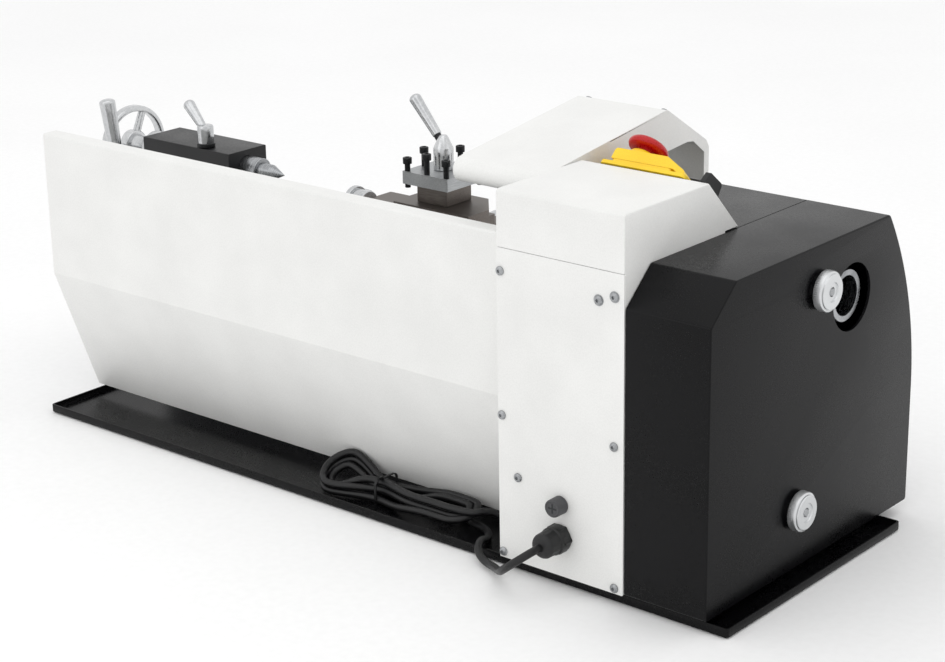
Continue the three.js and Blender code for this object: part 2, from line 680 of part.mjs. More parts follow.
// ---------- mains cord ----------
// Both stretches are hand-laid routes; the hank between them is one closed solid
const LEAD_ROUTE = [
  [GLAND.x, 185.4, GLAND.z], [GLAND.x, 196, GLAND.z], [-268, 208, 45], [-253, 209, 33], [-237, 196, 21],
  [-221, 180, 11.5], [-205, 168, 6.5], [-191, 163, 5.5], [-179, 158, 9.5], [-172, 149, 13.8], [-168, 138, 12.5],
  [-163, 126, 7.5], [-155, 114, 6.2], [-143, 106, 6.2], [-130.4, 105, 6.2],
];
const TAIL_ROUTE = [
  [-132, 113.5, 21.5], [-139, 106, 22], [-146, 97, 21], [-156, 90, 14.5], [-166, 84, 7.6], [-174, 72, 6.2],
  [-176, 58, 6.2], [-172, 42, 6.2], [-163, 31, 7.5], [-150, 27, 12.8], [-139.2, 27, 13.5],
];

function cordTube(name, route, sides, steps) {
  const curve = new THREE.CatmullRomCurve3(route.map((point) => new THREE.Vector3(...point)));
  const section = new THREE.Shape(Array.from({ length: sides }, (_, i) => {
    const angle = 2 * Math.PI * i / sides;
    return new THREE.Vector2(CORD.radius * Math.cos(angle), CORD.radius * Math.sin(angle));
  }));
  const geometry = new THREE.ExtrudeGeometry(section, { steps, extrudePath: curve, bevelEnabled: false });
  return piece(name, solidOf(geometry), rubber());
}

function cordHank() {
  const [x0, x1, y, half] = [-130, 86, 105, 21];
  const outline = new THREE.Shape()
    .absarc(x0 + half, y, half, Math.PI / 2, 1.5 * Math.PI, false)
    .absarc(x1 - half, y, half, -Math.PI / 2, Math.PI / 2, false);
  return piece('cord_hank', alongZ(outline, TRAY.sheet + GAP, 28), rubber());
}

function plug() {
  const [x, y, z] = [-138.7, 27, 16];
  const body = alongX([[y - 17, 2.3], [y + 17, 2.3], [y + 17, 24], [y + 11, 30], [y - 11, 30], [y - 17, 24]], -112, -82);
  const neck = turnedX([[x, 0], [x, 6], [-118, 9], [-111, 11], [-111, 0]], y, 13.5, 16);
  const blade = (dy) => box(-83, -64, y + dy - 0.8, y + dy + 0.8, z - 4, z + 3);
  const earth = turnedX(disc(-83, -62, 2.4), y, z + 9, 12);
  return piece('plug', body.add(neck).add(blade(-6.35)).add(blade(6.35)).add(earth), rubber());
}

// ---------- the lathe ----------
const KNOBS = { speed_knob: [-240, 110], direction_knob: [-300, 110] };

const lathe = new THREE.Group();
lathe.add(chipTray(), bed());
lathe.add(headstockCasting(), headstockFrontCover(Object.values(KNOBS)), spindle());
lathe.add(bearing('front_spindle_bearing', HEAD.right - 18, HEAD.right - 0.5));
lathe.add(bearing('rear_spindle_bearing', HEAD.left + 0.5, HEAD.left + 18));
lathe.add(chuckBody(), ...[1, 2, 3].map(chuckJaw));
lathe.add(...Object.entries(KNOBS).map(([name, [x, z]]) => knob(name, x, z)));
lathe.add(spindlePulleyGear(), idlerGear(), leadscrewGear(), banjo());
lathe.add(motor(), motorPulley(), driveBelt(), leadscrew(), leadscrewBracket());
lathe.add(coverStud('cover_stud_upper', HEAD.left - GAP, STUD_UPPER));
lathe.add(coverStud('cover_stud_lower', BOX.left - GAP, STUD_LOWER));
lathe.add(endCover(), thumbNut('thumb_nut_upper', STUD_UPPER), thumbNut('thumb_nut_lower', STUD_LOWER));
lathe.add(electricsHousing(), rearPanel(), fuseHolder(), cableGland(), slopePieces());
lathe.add(splashGuard(), ...chuckGuard(), guardPivotRod());
lathe.add(saddle(), apron(), apronHandwheel(), halfNutLever(), crossSlide(), crossSlideHandwheel());
lathe.add(topSlideBase(), topSlide(), topSlideHandle(), toolPost(), toolPostLever());
lathe.add(tailstockBody(), quill(), deadCentre(), quillClampLever(), tailstockHandwheel(), tailstockLockLever());
lathe.add(cordTube('cord_lead', LEAD_ROUTE, 10, 24), cordHank(), cordTube('cord_tail', TAIL_ROUTE, 10, 14), plug());

export default lathe;
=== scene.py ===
"""A bench-top metalworking mini lathe: its visible surfaces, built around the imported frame."""

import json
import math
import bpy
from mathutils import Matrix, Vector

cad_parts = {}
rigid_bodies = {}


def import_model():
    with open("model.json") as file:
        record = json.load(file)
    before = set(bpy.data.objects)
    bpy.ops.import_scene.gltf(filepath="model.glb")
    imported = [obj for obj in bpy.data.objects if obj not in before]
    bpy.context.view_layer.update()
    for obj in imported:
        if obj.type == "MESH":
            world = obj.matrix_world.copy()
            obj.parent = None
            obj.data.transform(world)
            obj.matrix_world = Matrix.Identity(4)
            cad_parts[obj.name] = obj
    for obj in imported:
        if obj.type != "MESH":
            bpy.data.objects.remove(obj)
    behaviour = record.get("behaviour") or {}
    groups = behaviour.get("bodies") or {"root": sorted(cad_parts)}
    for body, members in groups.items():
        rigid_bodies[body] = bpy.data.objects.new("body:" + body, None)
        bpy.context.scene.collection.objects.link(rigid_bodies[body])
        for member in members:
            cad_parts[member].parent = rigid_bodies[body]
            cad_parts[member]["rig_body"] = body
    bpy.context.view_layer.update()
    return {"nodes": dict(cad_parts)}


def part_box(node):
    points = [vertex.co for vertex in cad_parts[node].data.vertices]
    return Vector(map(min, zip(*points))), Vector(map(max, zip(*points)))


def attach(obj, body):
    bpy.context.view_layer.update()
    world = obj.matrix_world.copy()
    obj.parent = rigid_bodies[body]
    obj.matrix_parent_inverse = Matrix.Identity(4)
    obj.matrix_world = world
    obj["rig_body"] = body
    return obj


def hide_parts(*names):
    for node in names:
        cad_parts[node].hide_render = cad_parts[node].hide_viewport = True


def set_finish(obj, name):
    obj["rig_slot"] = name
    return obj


bl_info = {
    "name": "Mini lathe",
    "version": (1, 0, 0),
    "blender": (4, 5, 0),
    "location": "View3D > Sidebar > Mini lathe",
    "description": "Builds the painted covers, guards, slides, levers and cord of a bench-top mini lathe",
    "category": "Add Mesh",
}

import bmesh
import bpy
import numpy as np
from mathutils import Matrix, Vector
from mathutils.geometry import tessellate_polygon

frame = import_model()
MM = 0.001


def corners(node):
    """The lowest and highest corner of a CAD node, in millimetres."""
    low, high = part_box(node)
    return np.array(low) / MM, np.array(high) / MM


# ---------- sizes the pieces share, mm ----------
AXIS_Y, AXIS_Z = -72.0, 250.0
COVER_TOP, COVER_FRONT, CURVE_TOP_Y, CURVE_LOW_Z = 312.6, -190.5, -135.7, 130.0
SLOPE_ORIGIN = np.array([0.0, 6.25, 339.35])
SLOPE_ANGLE = math.atan2(48.3, 46.5)
SLOPE_UP = np.array([0.0, math.cos(SLOPE_ANGLE), math.sin(SLOPE_ANGLE)])
SLOPE_OUT = np.array([0.0, -math.sin(SLOPE_ANGLE), math.cos(SLOPE_ANGLE)])
X, Y, Z = np.eye(3)
CORD_RADIUS = 3.75


# ---------- user settings ----------
class LatheSizes(bpy.types.PropertyGroup):
    """The camera setting that changes the view and not the frame."""

    lens: bpy.props.FloatProperty(name="Lens", description="Focal length of the camera", default=83.8,
                                  unit="CAMERA")


class LatheColours(bpy.types.PropertyGroup):
    """Colours of the painted finishes, as sRGB hex codes."""

    black_paint: bpy.props.StringProperty(name="Black paint", description="Covers and tray",
                                          default="121315")
    white_coat: bpy.props.StringProperty(name="White coat", description="Box and guards", default="ECECEA")
    switch_yellow: bpy.props.StringProperty(name="Yellow", description="Stop switch", default="FFD92A")
    button_red: bpy.props.StringProperty(name="Red", description="Stop button", default="C00A10")


def sizes():
    return bpy.context.scene.lathe_sizes


def colours():
    return bpy.context.scene.lathe_colours


# ---------- surfaces ----------
def lofted(rings, closed_path=False, capped=True):
    """Quads between neighbouring closed rings. rings is (count, points, 3); the ends get flat caps."""
    rings = np.asarray(rings, float)
    count, around = rings.shape[:2]
    index = np.arange(count * around).reshape(count, around)
    ahead = np.roll(index, -1, 0) if closed_path else index[1:]
    here = index if closed_path else index[:-1]
    quads = np.stack([here, np.roll(here, -1, 1), np.roll(ahead, -1, 1), ahead], -1).reshape(-1, 4)
    faces = quads.tolist()
    if capped and not closed_path:
        faces += [index[0][::-1].tolist(), index[-1].tolist()]
    return rings.reshape(-1, 3), faces


def axes_for(direction):
    """Two unit vectors square to a direction."""
    direction = np.asarray(direction, float) / np.linalg.norm(direction)
    side = np.cross(Z if abs(direction[2]) < 0.9 else X, direction)
    side /= np.linalg.norm(side)
    return side, np.cross(direction, side), direction


def revolved(profile, origin, axis, segments=64, ripple=None):
    """A turned surface: point = origin + along * axis + radius * (cos a * side + sin a * top).
    profile holds (along, radius) pairs; it closes on itself if its ends meet off the axis."""
    profile = np.asarray(profile, float)
    side, top, axis = axes_for(axis)
    angle = np.linspace(0, 2 * np.pi, segments, endpoint=False)
    radius = np.repeat(profile[:, 1:], segments, 1)
    if ripple is not None:
        radius = ripple(profile[:, :1], radius, angle[None])
    circle = np.cos(angle)[:, None] * side + np.sin(angle)[:, None] * top
    rings = np.asarray(origin) + profile[:, :1, None] * axis + radius[..., None] * circle[None]
    ring_like = np.allclose(profile[0], profile[-1]) and profile[0, 1] > 0
    return lofted(rings[:-1] if ring_like else rings, closed_path=ring_like, capped=not ring_like)


def filleted(points, radius, closed=False, steps=6):
    """A path with arcs at its corners: each arc's centre lies on the corner's bisector, at
    radius / sin(half angle), and its points turn evenly from one tangent point to the other."""
    points = np.asarray(points, float)
    radius = np.broadcast_to(np.asarray(radius, float), (len(points),))
    before = np.roll(points, 1, 0) - points
    after = np.roll(points, -1, 0) - points
    before /= np.linalg.norm(before, axis=1)[:, None]
    after /= np.linalg.norm(after, axis=1)[:, None]
    half = np.arccos(np.clip((before * after).sum(1), -1, 1)) / 2
    inward = before + after
    inward /= np.maximum(np.linalg.norm(inward, axis=1), 1e-9)[:, None]
    centre = points + inward * (radius / np.sin(half))[:, None]
    first = points + before * (radius / np.tan(half))[:, None] - centre
    last = points + after * (radius / np.tan(half))[:, None] - centre
    turn = (np.pi - 2 * half)[:, None]
    share = np.linspace(0, 1, steps + 1)[None]
    wide = np.maximum(np.sin(turn), 1e-9)
    blend_a, blend_b = np.sin((1 - share) * turn) / wide, np.sin(share * turn) / wide
    arcs = centre[:, None] + blend_a[..., None] * first[:, None] + blend_b[..., None] * last[:, None]
    arcs[radius < 1e-6] = points[radius < 1e-6][:, None]
    if not closed:
        arcs[0], arcs[-1] = points[0], points[-1]
    path = arcs.reshape(-1, points.shape[1])
    keep = np.linalg.norm(np.diff(path, axis=0, prepend=path[:1] + 1), axis=1) > 1e-4
    return path[keep]


def offset_path(path, distance, closed=False):
    """Each point moved to the left of the path by a distance, along the mitre of its two edges."""
    edges = np.roll(path, -1, 0) - path
    edges /= np.linalg.norm(edges, axis=1)[:, None]
    before = np.roll(edges, 1, 0)
    if not closed:
        edges[-1], before[0] = edges[-2], edges[0]
    reach = distance / (1 + (before * edges).sum(1))
    both = before + edges
    return path + np.stack([-both[:, 1], both[:, 0]], 1) * reach[:, None]


def folded(points, sheet, radius, closed=False):
    """The outline of a sheet of one thickness bent along a path, with rounded folds."""
    outer = filleted(points, radius, closed)
    inner = offset_path(outer, sheet, closed)
    return (outer, inner) if closed else np.concatenate([outer, inner[::-1]])


PLANES = {"x": (Y, Z, X), "y": (X, Z, Y), "z": (X, Y, Z), "slope": (X, SLOPE_UP, SLOPE_OUT)}


def prism(outline, plane, low, high, holes=()):
    """An outline in a plane drawn out from low to high, with flat ends cut round its holes."""
    first, second, out = PLANES[plane]
    base = SLOPE_ORIGIN if plane == "slope" else np.zeros(3)
    loops = [np.asarray(loop, float) for loop in (outline, *holes)]
    points, faces = [], []
    triangles = tessellate_polygon([[Vector((*p, 0)) for p in loop] for loop in loops])
    total = sum(len(loop) for loop in loops)
    for level in (low, high):
        for loop in loops:
            points.append(base + loop[:, :1] * first + loop[:, 1:] * second + level * out)
    start = 0
    for loop in loops:
        here = start + np.arange(len(loop))
        ahead = np.roll(here, -1)
        faces += np.stack([here, ahead, ahead + total, here + total], 1).tolist()
        start += len(loop)
    faces += [list(t) for t in triangles] + [[i + total for i in reversed(t)] for t in triangles]
    return np.concatenate(points), faces


def carried(section, path, up=Z, scale=None):
    """A section carried along a path: point = path + s * right + t * top, where right is square
    to the path and the up vector. scale multiplies the section at each point of the path."""
    section, path = np.asarray(section, float), np.asarray(path, float)
    along = np.gradient(path, axis=0)
    along /= np.linalg.norm(along, axis=1)[:, None]
    right = np.cross(along, up)
    right /= np.linalg.norm(right, axis=1)[:, None]
    top = np.cross(right, along)
    scale = np.ones(len(path)) if scale is None else np.asarray(scale, float)
    spread = section[None] * scale[:, None, None]
    return lofted(path[:, None] + spread[..., :1] * right[:, None] + spread[..., 1:] * top[:, None])


def circle(radius, count=24, centre=(0.0, 0.0), start=0.0):
    angle = start + np.linspace(0, 2 * np.pi, count, endpoint=False)
    return np.stack([centre[0] + radius * np.cos(angle), centre[1] + radius * np.sin(angle)], 1)


def rod(start, end, radius_a, radius_b, round_a=0.2, round_b=1.0, count=32, belly=0.0):
    """A straight tapered rod: radius(t) = the taper plus a belly, times an ellipse at each end."""
    start, end = np.asarray(start, float), np.asarray(end, float)
    length = np.linalg.norm(end - start)
    t = (1 - np.cos(np.linspace(0, np.pi, 41))) / 2
    radius = radius_a + (radius_b - radius_a) * t + belly * np.sin(np.pi * t)
    near = np.clip(t * length / max(radius_a * round_a, 1e-6), 0, 1)
    far = np.clip((1 - t) * length / max(radius_b * round_b, 1e-6), 0, 1)
    radius = radius * np.sqrt(1 - (1 - near) ** 2) * np.sqrt(1 - (1 - far) ** 2)
    return revolved(np.stack([t * length, radius], 1), start, end - start, count)


def rectangle(a0, a1, b0, b1, radius=0.0):
    points = [(a0, b0), (a1, b0), (a1, b1), (a0, b1)]
    return filleted(points, radius, closed=True) if radius else np.array(points)


def block(x0, x1, y0, y1, z0, z1, radius=0.0):
    return prism(rectangle(x0, x1, y0, y1, radius), "z", z0, z1)


def bored_profile(a0, a1, bore, radius, edge=0.6):
    """A ring's profile with broken outer edges."""
    return [(a0, bore), (a0, radius - edge), (a0 + edge, radius), (a1 - edge, radius), (a1, radius - edge),
            (a1, bore), (a0, bore)]


def socket_head(origin, axis, radius, height, dome, hexagon, shank=None):
    """A screw head with a hexagon socket. The socket's wall lies at hexagon / cos(angle folded into
    30 degrees either side of a flat), and the dome falls away from it as a quarter ellipse."""
    side, top, axis = axes_for(axis)
    count = 24
    angle = np.linspace(0, 2 * np.pi, count, endpoint=False)
    flat = hexagon / np.cos((angle % (np.pi / 3)) - np.pi / 6)
    fall = np.linspace(0, np.pi / 2, 5)
    lip = hexagon * 1.25
    levels = [(0.0, 0.0), (0.0, radius * 0.98), (height - dome, radius)]
    levels += [(height - dome + dome * math.sin(f), lip + (radius - lip) * math.cos(f)) for f in fall[1:]]
    rings = [np.full(count, r) for _, r in levels] + [flat, flat, np.zeros(count)]
    heights = [a for a, _ in levels] + [height, height * 0.45, height * 0.4]
    if shank:
        rings = [np.zeros(count), np.full(count, shank[0]), np.full(count, shank[0])] + rings[1:]
        heights = [-shank[1], -shank[1], 0.0] + heights[1:]
    radii = np.stack(rings)
    spokes = np.cos(angle)[:, None] * side + np.sin(angle)[:, None] * top
    points = np.asarray(origin) + np.asarray(heights)[:, None, None] * axis + radii[...,
            None] * spokes[None]
    return lofted(points)


def slope_point(x, up, out):
    return SLOPE_ORIGIN + x * X + up * SLOPE_UP + out * SLOPE_OUT


# ---------- pieces ----------
def shade(mesh, angle):
    mesh.shade_smooth()
    mesh.set_sharp_from_angle(angle=math.radians(angle))


def finish_piece(obj, material, body, slot, replaces, edge, angle):
    obj.data.materials.clear()
    obj.data.materials.append(material)
    shade(obj.data, angle)
    if edge:
        bevel = obj.modifiers.new("Broken edges", "BEVEL")
        bevel.width, bevel.segments, bevel.limit_method = edge, 2, "ANGLE"
        bevel.angle_limit, bevel.harden_normals = math.radians(35), True
        bevel.use_clamp_overlap = True
    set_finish(obj, slot)
    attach(obj, body)
    if replaces:
        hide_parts(*replaces)
    return obj


def piece(name, shells, material, body, slot, replaces=(), edge=0.0, angle=35):
    """One object from closed shells given in millimetres."""
    points, faces, start = [], [], 0
    for shell_points, shell_faces in shells:
        points.append(np.asarray(shell_points, float) * MM)
        faces += [[i + start for i in face] for face in shell_faces]
        start += len(shell_points)
    mesh = bpy.data.meshes.new(name)
    mesh.from_pydata(np.concatenate(points).tolist(), [], faces)
    build = bmesh.new()
    build.from_mesh(mesh)
    bmesh.ops.remove_doubles(build, verts=build.verts, dist=2e-6)
    bmesh.ops.dissolve_degenerate(build, edges=build.edges, dist=1e-6)
    bmesh.ops.recalc_face_normals(build, faces=build.faces)
    build.to_mesh(mesh)
    build.free()
    obj = bpy.data.objects.new(name, mesh)
    bpy.context.scene.collection.objects.link(obj)
    return finish_piece(obj, material, body, slot, replaces, edge, angle)


def cut(obj, shells):
    """Takes closed shells away from a piece."""
    cutter = piece(f"{obj.name}_cutter", shells, obj.data.materials[0], obj["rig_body"], obj["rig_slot"])
    dressed_already = len(obj.modifiers) > 0
    boolean = obj.modifiers.new("Cut", "BOOLEAN")
    boolean.object, boolean.solver = cutter, "EXACT"
    if dressed_already:
        bpy.context.view_layer.objects.active = obj
        bpy.ops.object.modifier_move_to_index(modifier="Cut", index=0)
    with bpy.context.temp_override(object=obj, active_object=obj):
        bpy.ops.object.modifier_apply(modifier="Cut")
    bpy.data.objects.remove(cutter)
    shade(obj.data, 35)


# ---------- finishes ----------
def linear(code):
    """An sRGB hex code as a linear colour."""
    value = np.array([int(code[i:i + 2], 16) for i in (0, 2, 4)]) / 255
    bright = np.where(value <= 0.04045, value / 12.92, ((value + 0.055) / 1.055) ** 2.4)
    return (*bright.tolist(), 1.0)


def add(tree, kind, settings, inputs):
    """Adds a node with its settings, and links or sets its inputs."""
    node = tree.nodes.new(kind)
    for key, value in settings.items():
        setattr(node, key, value)
    for key, value in inputs.items():
        if isinstance(value, bpy.types.NodeSocket):
            tree.links.new(value, node.inputs[key])
        else:
            node.inputs[key].default_value = value
    return node


def finish_of(name, tones, roughness, grain, relief, patch=60.0, stretch=(1, 1, 1), speck=None, **shader):
    """A surface with cloudy tone, uneven gloss and a fine relief. tones are two hex colours,
    roughness its least and most, and grain, relief and patch are real sizes in millimetres.
    stretch draws the grain out along an axis, and speck is a hex colour and the share it covers."""
    known = bpy.data.materials.get(name)
    if known:
        return known
    material = bpy.data.materials.new(name)
    material.use_nodes = True
    tree = material.node_tree
    surface = tree.nodes["Principled BSDF"]
    place = add(tree, "ShaderNodeTexCoord", {}, {}).outputs["Object"]
    cloud = add(tree, "ShaderNodeTexNoise", {}, {"Vector": place, "Scale": 1 / (patch * MM), "Detail": 4.0})
    drawn = add(tree, "ShaderNodeMapping", {}, {"Vector": place, "Scale": stretch})
    fine = add(tree, "ShaderNodeTexNoise", {},
               {"Vector": drawn.outputs[0], "Scale": 1 / (grain * MM), "Detail": 3.0})
    mixed = add(tree, "ShaderNodeMath", {"operation": "ADD"}, {0: cloud.outputs[0], 1: fine.outputs[0]})
    ramp = add(tree, "ShaderNodeValToRGB", {}, {"Fac": add(
        tree, "ShaderNodeMath", {"operation": "MULTIPLY"}, {0: mixed.outputs[0], 1: 0.5}).outputs[0]})
    ramp.color_ramp.elements[0].position, ramp.color_ramp.elements[1].position = 0.36, 0.64
    ramp.color_ramp.elements[0].color, ramp.color_ramp.elements[1].color = linear(tones[0]), linear(tones[1])
    colour = ramp.outputs[0]
    if speck:
        dust = add(tree, "ShaderNodeTexNoise", {},
                   {"Vector": place, "Scale": 1 / (1.2 * MM), "Detail": 2.0})
        share = add(tree, "ShaderNodeMapRange", {}, {
            "Value": dust.outputs[0], "From Min": speck[1], "From Max": speck[1] + 0.05})
        colour = add(tree, "ShaderNodeMix", {"data_type": "RGBA"}, {
            0: share.outputs[0], 6: colour, 7: linear(speck[0])}).outputs[2]
    tree.links.new(colour, surface.inputs["Base Color"])
    gloss = add(tree, "ShaderNodeMapRange", {}, {
        "Value": mixed.outputs[0], "From Min": 0.75, "From Max": 1.25, "To Min": roughness[0],
        "To Max": roughness[1]})
    tree.links.new(gloss.outputs[0], surface.inputs["Roughness"])
    bump = add(tree, "ShaderNodeBump", {},
               {"Strength": 0.6, "Distance": relief * MM, "Height": fine.outputs[0]})
    tree.links.new(bump.outputs[0], surface.inputs["Normal"])
    for key, value in shader.items():
        surface.inputs[key.replace("_", " ")].default_value = value
    return material


# Stoved black enamel on sheet steel: near-black, a broad soft gloss and faint orange peel
def black_enamel():
    return finish_of("stoved_black_enamel", ("060607", "0B0B0D"), (0.24, 0.34), 1.6, 0.012, IOR=1.26,
                     speck=("1C1C1F", 0.72))


# White polyester powder coat: warm white, satin, with a 1.5 mm orange peel
def white_powder():
    return finish_of("white_powder_coat", ("E3E3E1", colours().white_coat), (0.36, 0.48), 1.5, 0.015,
                     IOR=1.5)


# Ground carbon steel: mid grey with grinding lines about 0.3 mm apart, drawn at 0.8 mm to show
def ground_steel():
    return finish_of("ground_steel", ("96989A", "BCBEBF"), (0.32, 0.46), 0.8, 0.006, stretch=(1, 0.05, 1),
                     Metallic=1.0)


# Milled steel, oiled: warmer and darker than ground steel, with a faint grain across the slides; on the tool
# post's waist the darker tone is also painted shade under the head
def milled_steel():
    return finish_of("milled_steel", ("5E5854", "7D7772"), (0.36, 0.5), 0.9, 0.008, stretch=(0.08, 1, 1),
                     Metallic=1.0)


# Milled cast iron: darker and duller than steel, with an open grain
def cast_iron():
    return finish_of("milled_cast_iron", ("5A5B5D", "7B7C7D"), (0.42, 0.6), 1.1, 0.02, stretch=(0.1, 1, 1),
                     Metallic=1.0)


# Turned steel: fine feed marks along the axis, 0.2 mm real and drawn at 0.7 mm to show
def turned_steel():
    return finish_of("turned_steel", ("8B8D90", "B4B6B8"), (0.2, 0.34), 0.7, 0.005, stretch=(1, 0.08, 0.08),
                     Metallic=1.0)


# Chrome-plated zinc castings: bright, with slightly wavy reflections
def bright_chrome():
    return finish_of("chrome_plated_casting", ("B9BBBD", "D2D3D4"), (0.14, 0.26), 3.0, 0.02, Metallic=1.0)


# Turned and polished aluminium of the thumb nuts: pale, with circular marks on the face
def bright_aluminium():
    return finish_of("turned_aluminium", ("B4B5B6", "CFD0D1"), (0.24, 0.36), 0.6, 0.008,
                     stretch=(1, 0.3, 0.3), Metallic=1.0)


# Enamelled grey iron casting: black, with the grain of the sand showing through
def enamelled_casting():
    return finish_of("black_enamelled_casting", ("0A0A0B", "141517"), (0.34, 0.5), 1.4, 0.05, IOR=1.45)


# Black oxide on socket screws: dark grey steel with an oily sheen
def black_oxide():
    return finish_of("black_oxide_steel", ("18191A", "2C2D2F"), (0.3, 0.45), 0.8, 0.01, Metallic=0.6)


# Zinc plate on small screws and nuts: pale grey with a soft sheen
def zinc_plate():
    return finish_of("zinc_plated_steel", ("8F9193", "B2B4B6"), (0.25, 0.4), 0.9, 0.008, Metallic=1.0)


# Moulded glass-filled nylon: black, finely spark-eroded so it stays matt
def black_nylon():
    return finish_of("moulded_black_nylon", ("0E0E0F", "18191A"), (0.5, 0.62), 0.9, 0.03, IOR=1.5)


# Moulded nylon of the fuse cap: the same matt skin, dark grey
def grey_nylon():
    return finish_of("moulded_grey_nylon", ("39393B", "4A4A4D"), (0.45, 0.58), 0.9, 0.03, IOR=1.53)


# Moulded ABS of the switch box: warm yellow, half gloss
def yellow_abs():
    return finish_of("moulded_yellow_abs", ("F2C81A", colours().switch_yellow), (0.3, 0.4), 1.0, 0.01,
                     IOR=1.54)


# Moulded ABS of the mushroom button: signal red, polished
def red_abs():
    return finish_of("moulded_red_abs", ("A8060B", colours().button_red), (0.24, 0.34), 1.2, 0.008,
                     IOR=1.46)


# Flexible PVC sheath: black with a slight grain and a waxy gloss
def pvc_sheath():
    return finish_of("black_pvc_sheath", ("0A0A0B", "131315"), (0.36, 0.5), 1.0, 0.02, IOR=1.46)


# Neoprene belt: charcoal, dusty and matt
def belt_rubber():
    return finish_of("neoprene_belt", ("1A1A1B", "262627"), (0.7, 0.85), 0.8, 0.05, IOR=1.5)


# Clear polycarbonate: nearly colourless, polished, with the faintest unevenness
def clear_pane():
    return finish_of("clear_polycarbonate", ("EFF3F4", "F7F9FA"), (0.04, 0.09), 20.0, 0.004, IOR=1.586,
                     Transmission_Weight=0.92)


# Smoked acrylic of the speed display: dark and polished
def smoked_acrylic():
    return finish_of("smoked_acrylic", ("0B1014", "10171C"), (0.06, 0.12), 15.0, 0.003, IOR=1.49)


# Painted studio floor: pale and matt
def studio_floor():
    return finish_of("pale_studio_floor", ("F7F7F7", "FBFBFB"), (0.8, 0.9), 8.0, 0.02, patch=500.0, IOR=1.3)


# ---------- stage ----------
def build_stage():
    """A pale floor and soft light from above, the rear and the left."""
    world = bpy.data.worlds.new("Studio")
    bpy.context.scene.world = world
    world.use_nodes = True
    background = world.node_tree.nodes["Background"]
    background.inputs["Color"].default_value = linear("FFFFFF")
    background.inputs["Strength"].default_value = 0.98
    scene = bpy.context.scene
    scene.view_settings.view_transform = "Standard"
    scene.view_settings.look = "None"
    reach = np.linspace(-30.0, 30.0, 13)
    x, y = np.meshgrid(reach, reach, indexing="ij")
    points = np.stack([x, y, np.full_like(x, -0.0012)], -1).reshape(-1, 3)
    index = np.arange(169).reshape(13, 13)
    quads = np.stack([index[:-1, :-1], index[1:, :-1], index[1:, 1:], index[:-1, 1:]], -1).reshape(-1, 4)
    mesh = bpy.data.meshes.new("studio_floor")
    mesh.from_pydata(points.tolist(), [], quads.tolist())
    floor = bpy.data.objects.new("studio_floor", mesh)
    floor.data.materials.append(studio_floor())
    scene.collection.objects.link(floor)
    for name, place, aim, size, power in (
        ("Overhead", (-0.3, 0.6, 2.6), (0.0, 0.0, 0.1), 2.4, 8.0),
        ("Rear fill", (0.8, 2.6, 1.5), (0.0, 0.1, 0.2), 1.8, 5.0),
        ("Left fill", (-2.6, -0.7, 1.3), (-0.4, -0.1, 0.2), 1.6, 2.0),
    ):
        light = bpy.data.objects.new(name, bpy.data.lights.new(name, "AREA"))
        light.data.shape, light.data.size, light.data.energy = "SQUARE", size, power
        light.location = place
        light.rotation_euler = (Vector(aim) - Vector(place)).to_track_quat("-Z", "Y").to_euler()
        scene.collection.objects.link(light)


def build_camera():
    yaw, pitch, roll = (math.radians(a) for a in (-49.56, -18.82, -1.01))
    forward = Vector((math.cos(pitch) * math.cos(yaw), math.cos(pitch) * math.sin(yaw), math.sin(pitch)))
    right = forward.cross(Vector((0, 0, 1))).normalized()
    up = right.cross(forward)
    level = right * math.cos(roll) + up * math.sin(roll)
    upright = up * math.cos(roll) - right * math.sin(roll)
    camera = bpy.data.objects.new("Camera", bpy.data.cameras.new("Camera"))
    camera.data.lens, camera.data.sensor_width, camera.data.sensor_fit = sizes().lens, 36.0, "HORIZONTAL"
    camera.data.clip_start, camera.data.clip_end = 0.05, 100.0
    turn = Matrix((level, upright, -forward)).transposed().to_4x4()
    camera.matrix_world = Matrix.Translation((-1.3942, 1.5866, 0.8670)) @ turn
    bpy.context.scene.collection.objects.link(camera)
    bpy.context.scene.camera = camera


# ---------- mains cord ----------
LEAD_ROUTE = [
    (-273.5, 185.4, 50), (-273.5, 196, 50), (-268, 208, 45), (-253, 209, 33), (-237, 196, 21),
    (-221, 180, 11.5),
    (-205, 168, 6.5), (-191, 163, 5.5), (-179, 158, 9.5), (-172, 149, 13.8), (-168, 138, 12.5),
    (-163, 126, 7.5),
    (-155, 114, 6.2), (-143, 106, 6.2), (-130.4, 105, 6.2), (-120, 101, 6.2), (-110, 95, 6.2),
    (-100, 90.5, 6.2),
]
TAIL_ROUTE = [
    (-132, 113.5, 21.5), (-139, 106, 22), (-146, 97, 21), (-156, 90, 14.5), (-166, 84, 7.6),
    (-174, 72, 6.2),
    (-176, 58, 6.2), (-172, 42, 6.2), (-163, 31, 7.5), (-150, 27, 12.8), (-139.2, 27, 13.5),
]
HANK = {"left": -109.0, "right": 38.0, "middle": 105.5, "outer": 21.0, "inner": 13.3, "tie": -15.0}


def ease(value, start, end):
    """0 before start and 1 after end, with a cosine slope between them."""
    share = np.clip((value - start) / (end - start), 0, 1)
    return (1 - np.cos(np.pi * share)) / 2


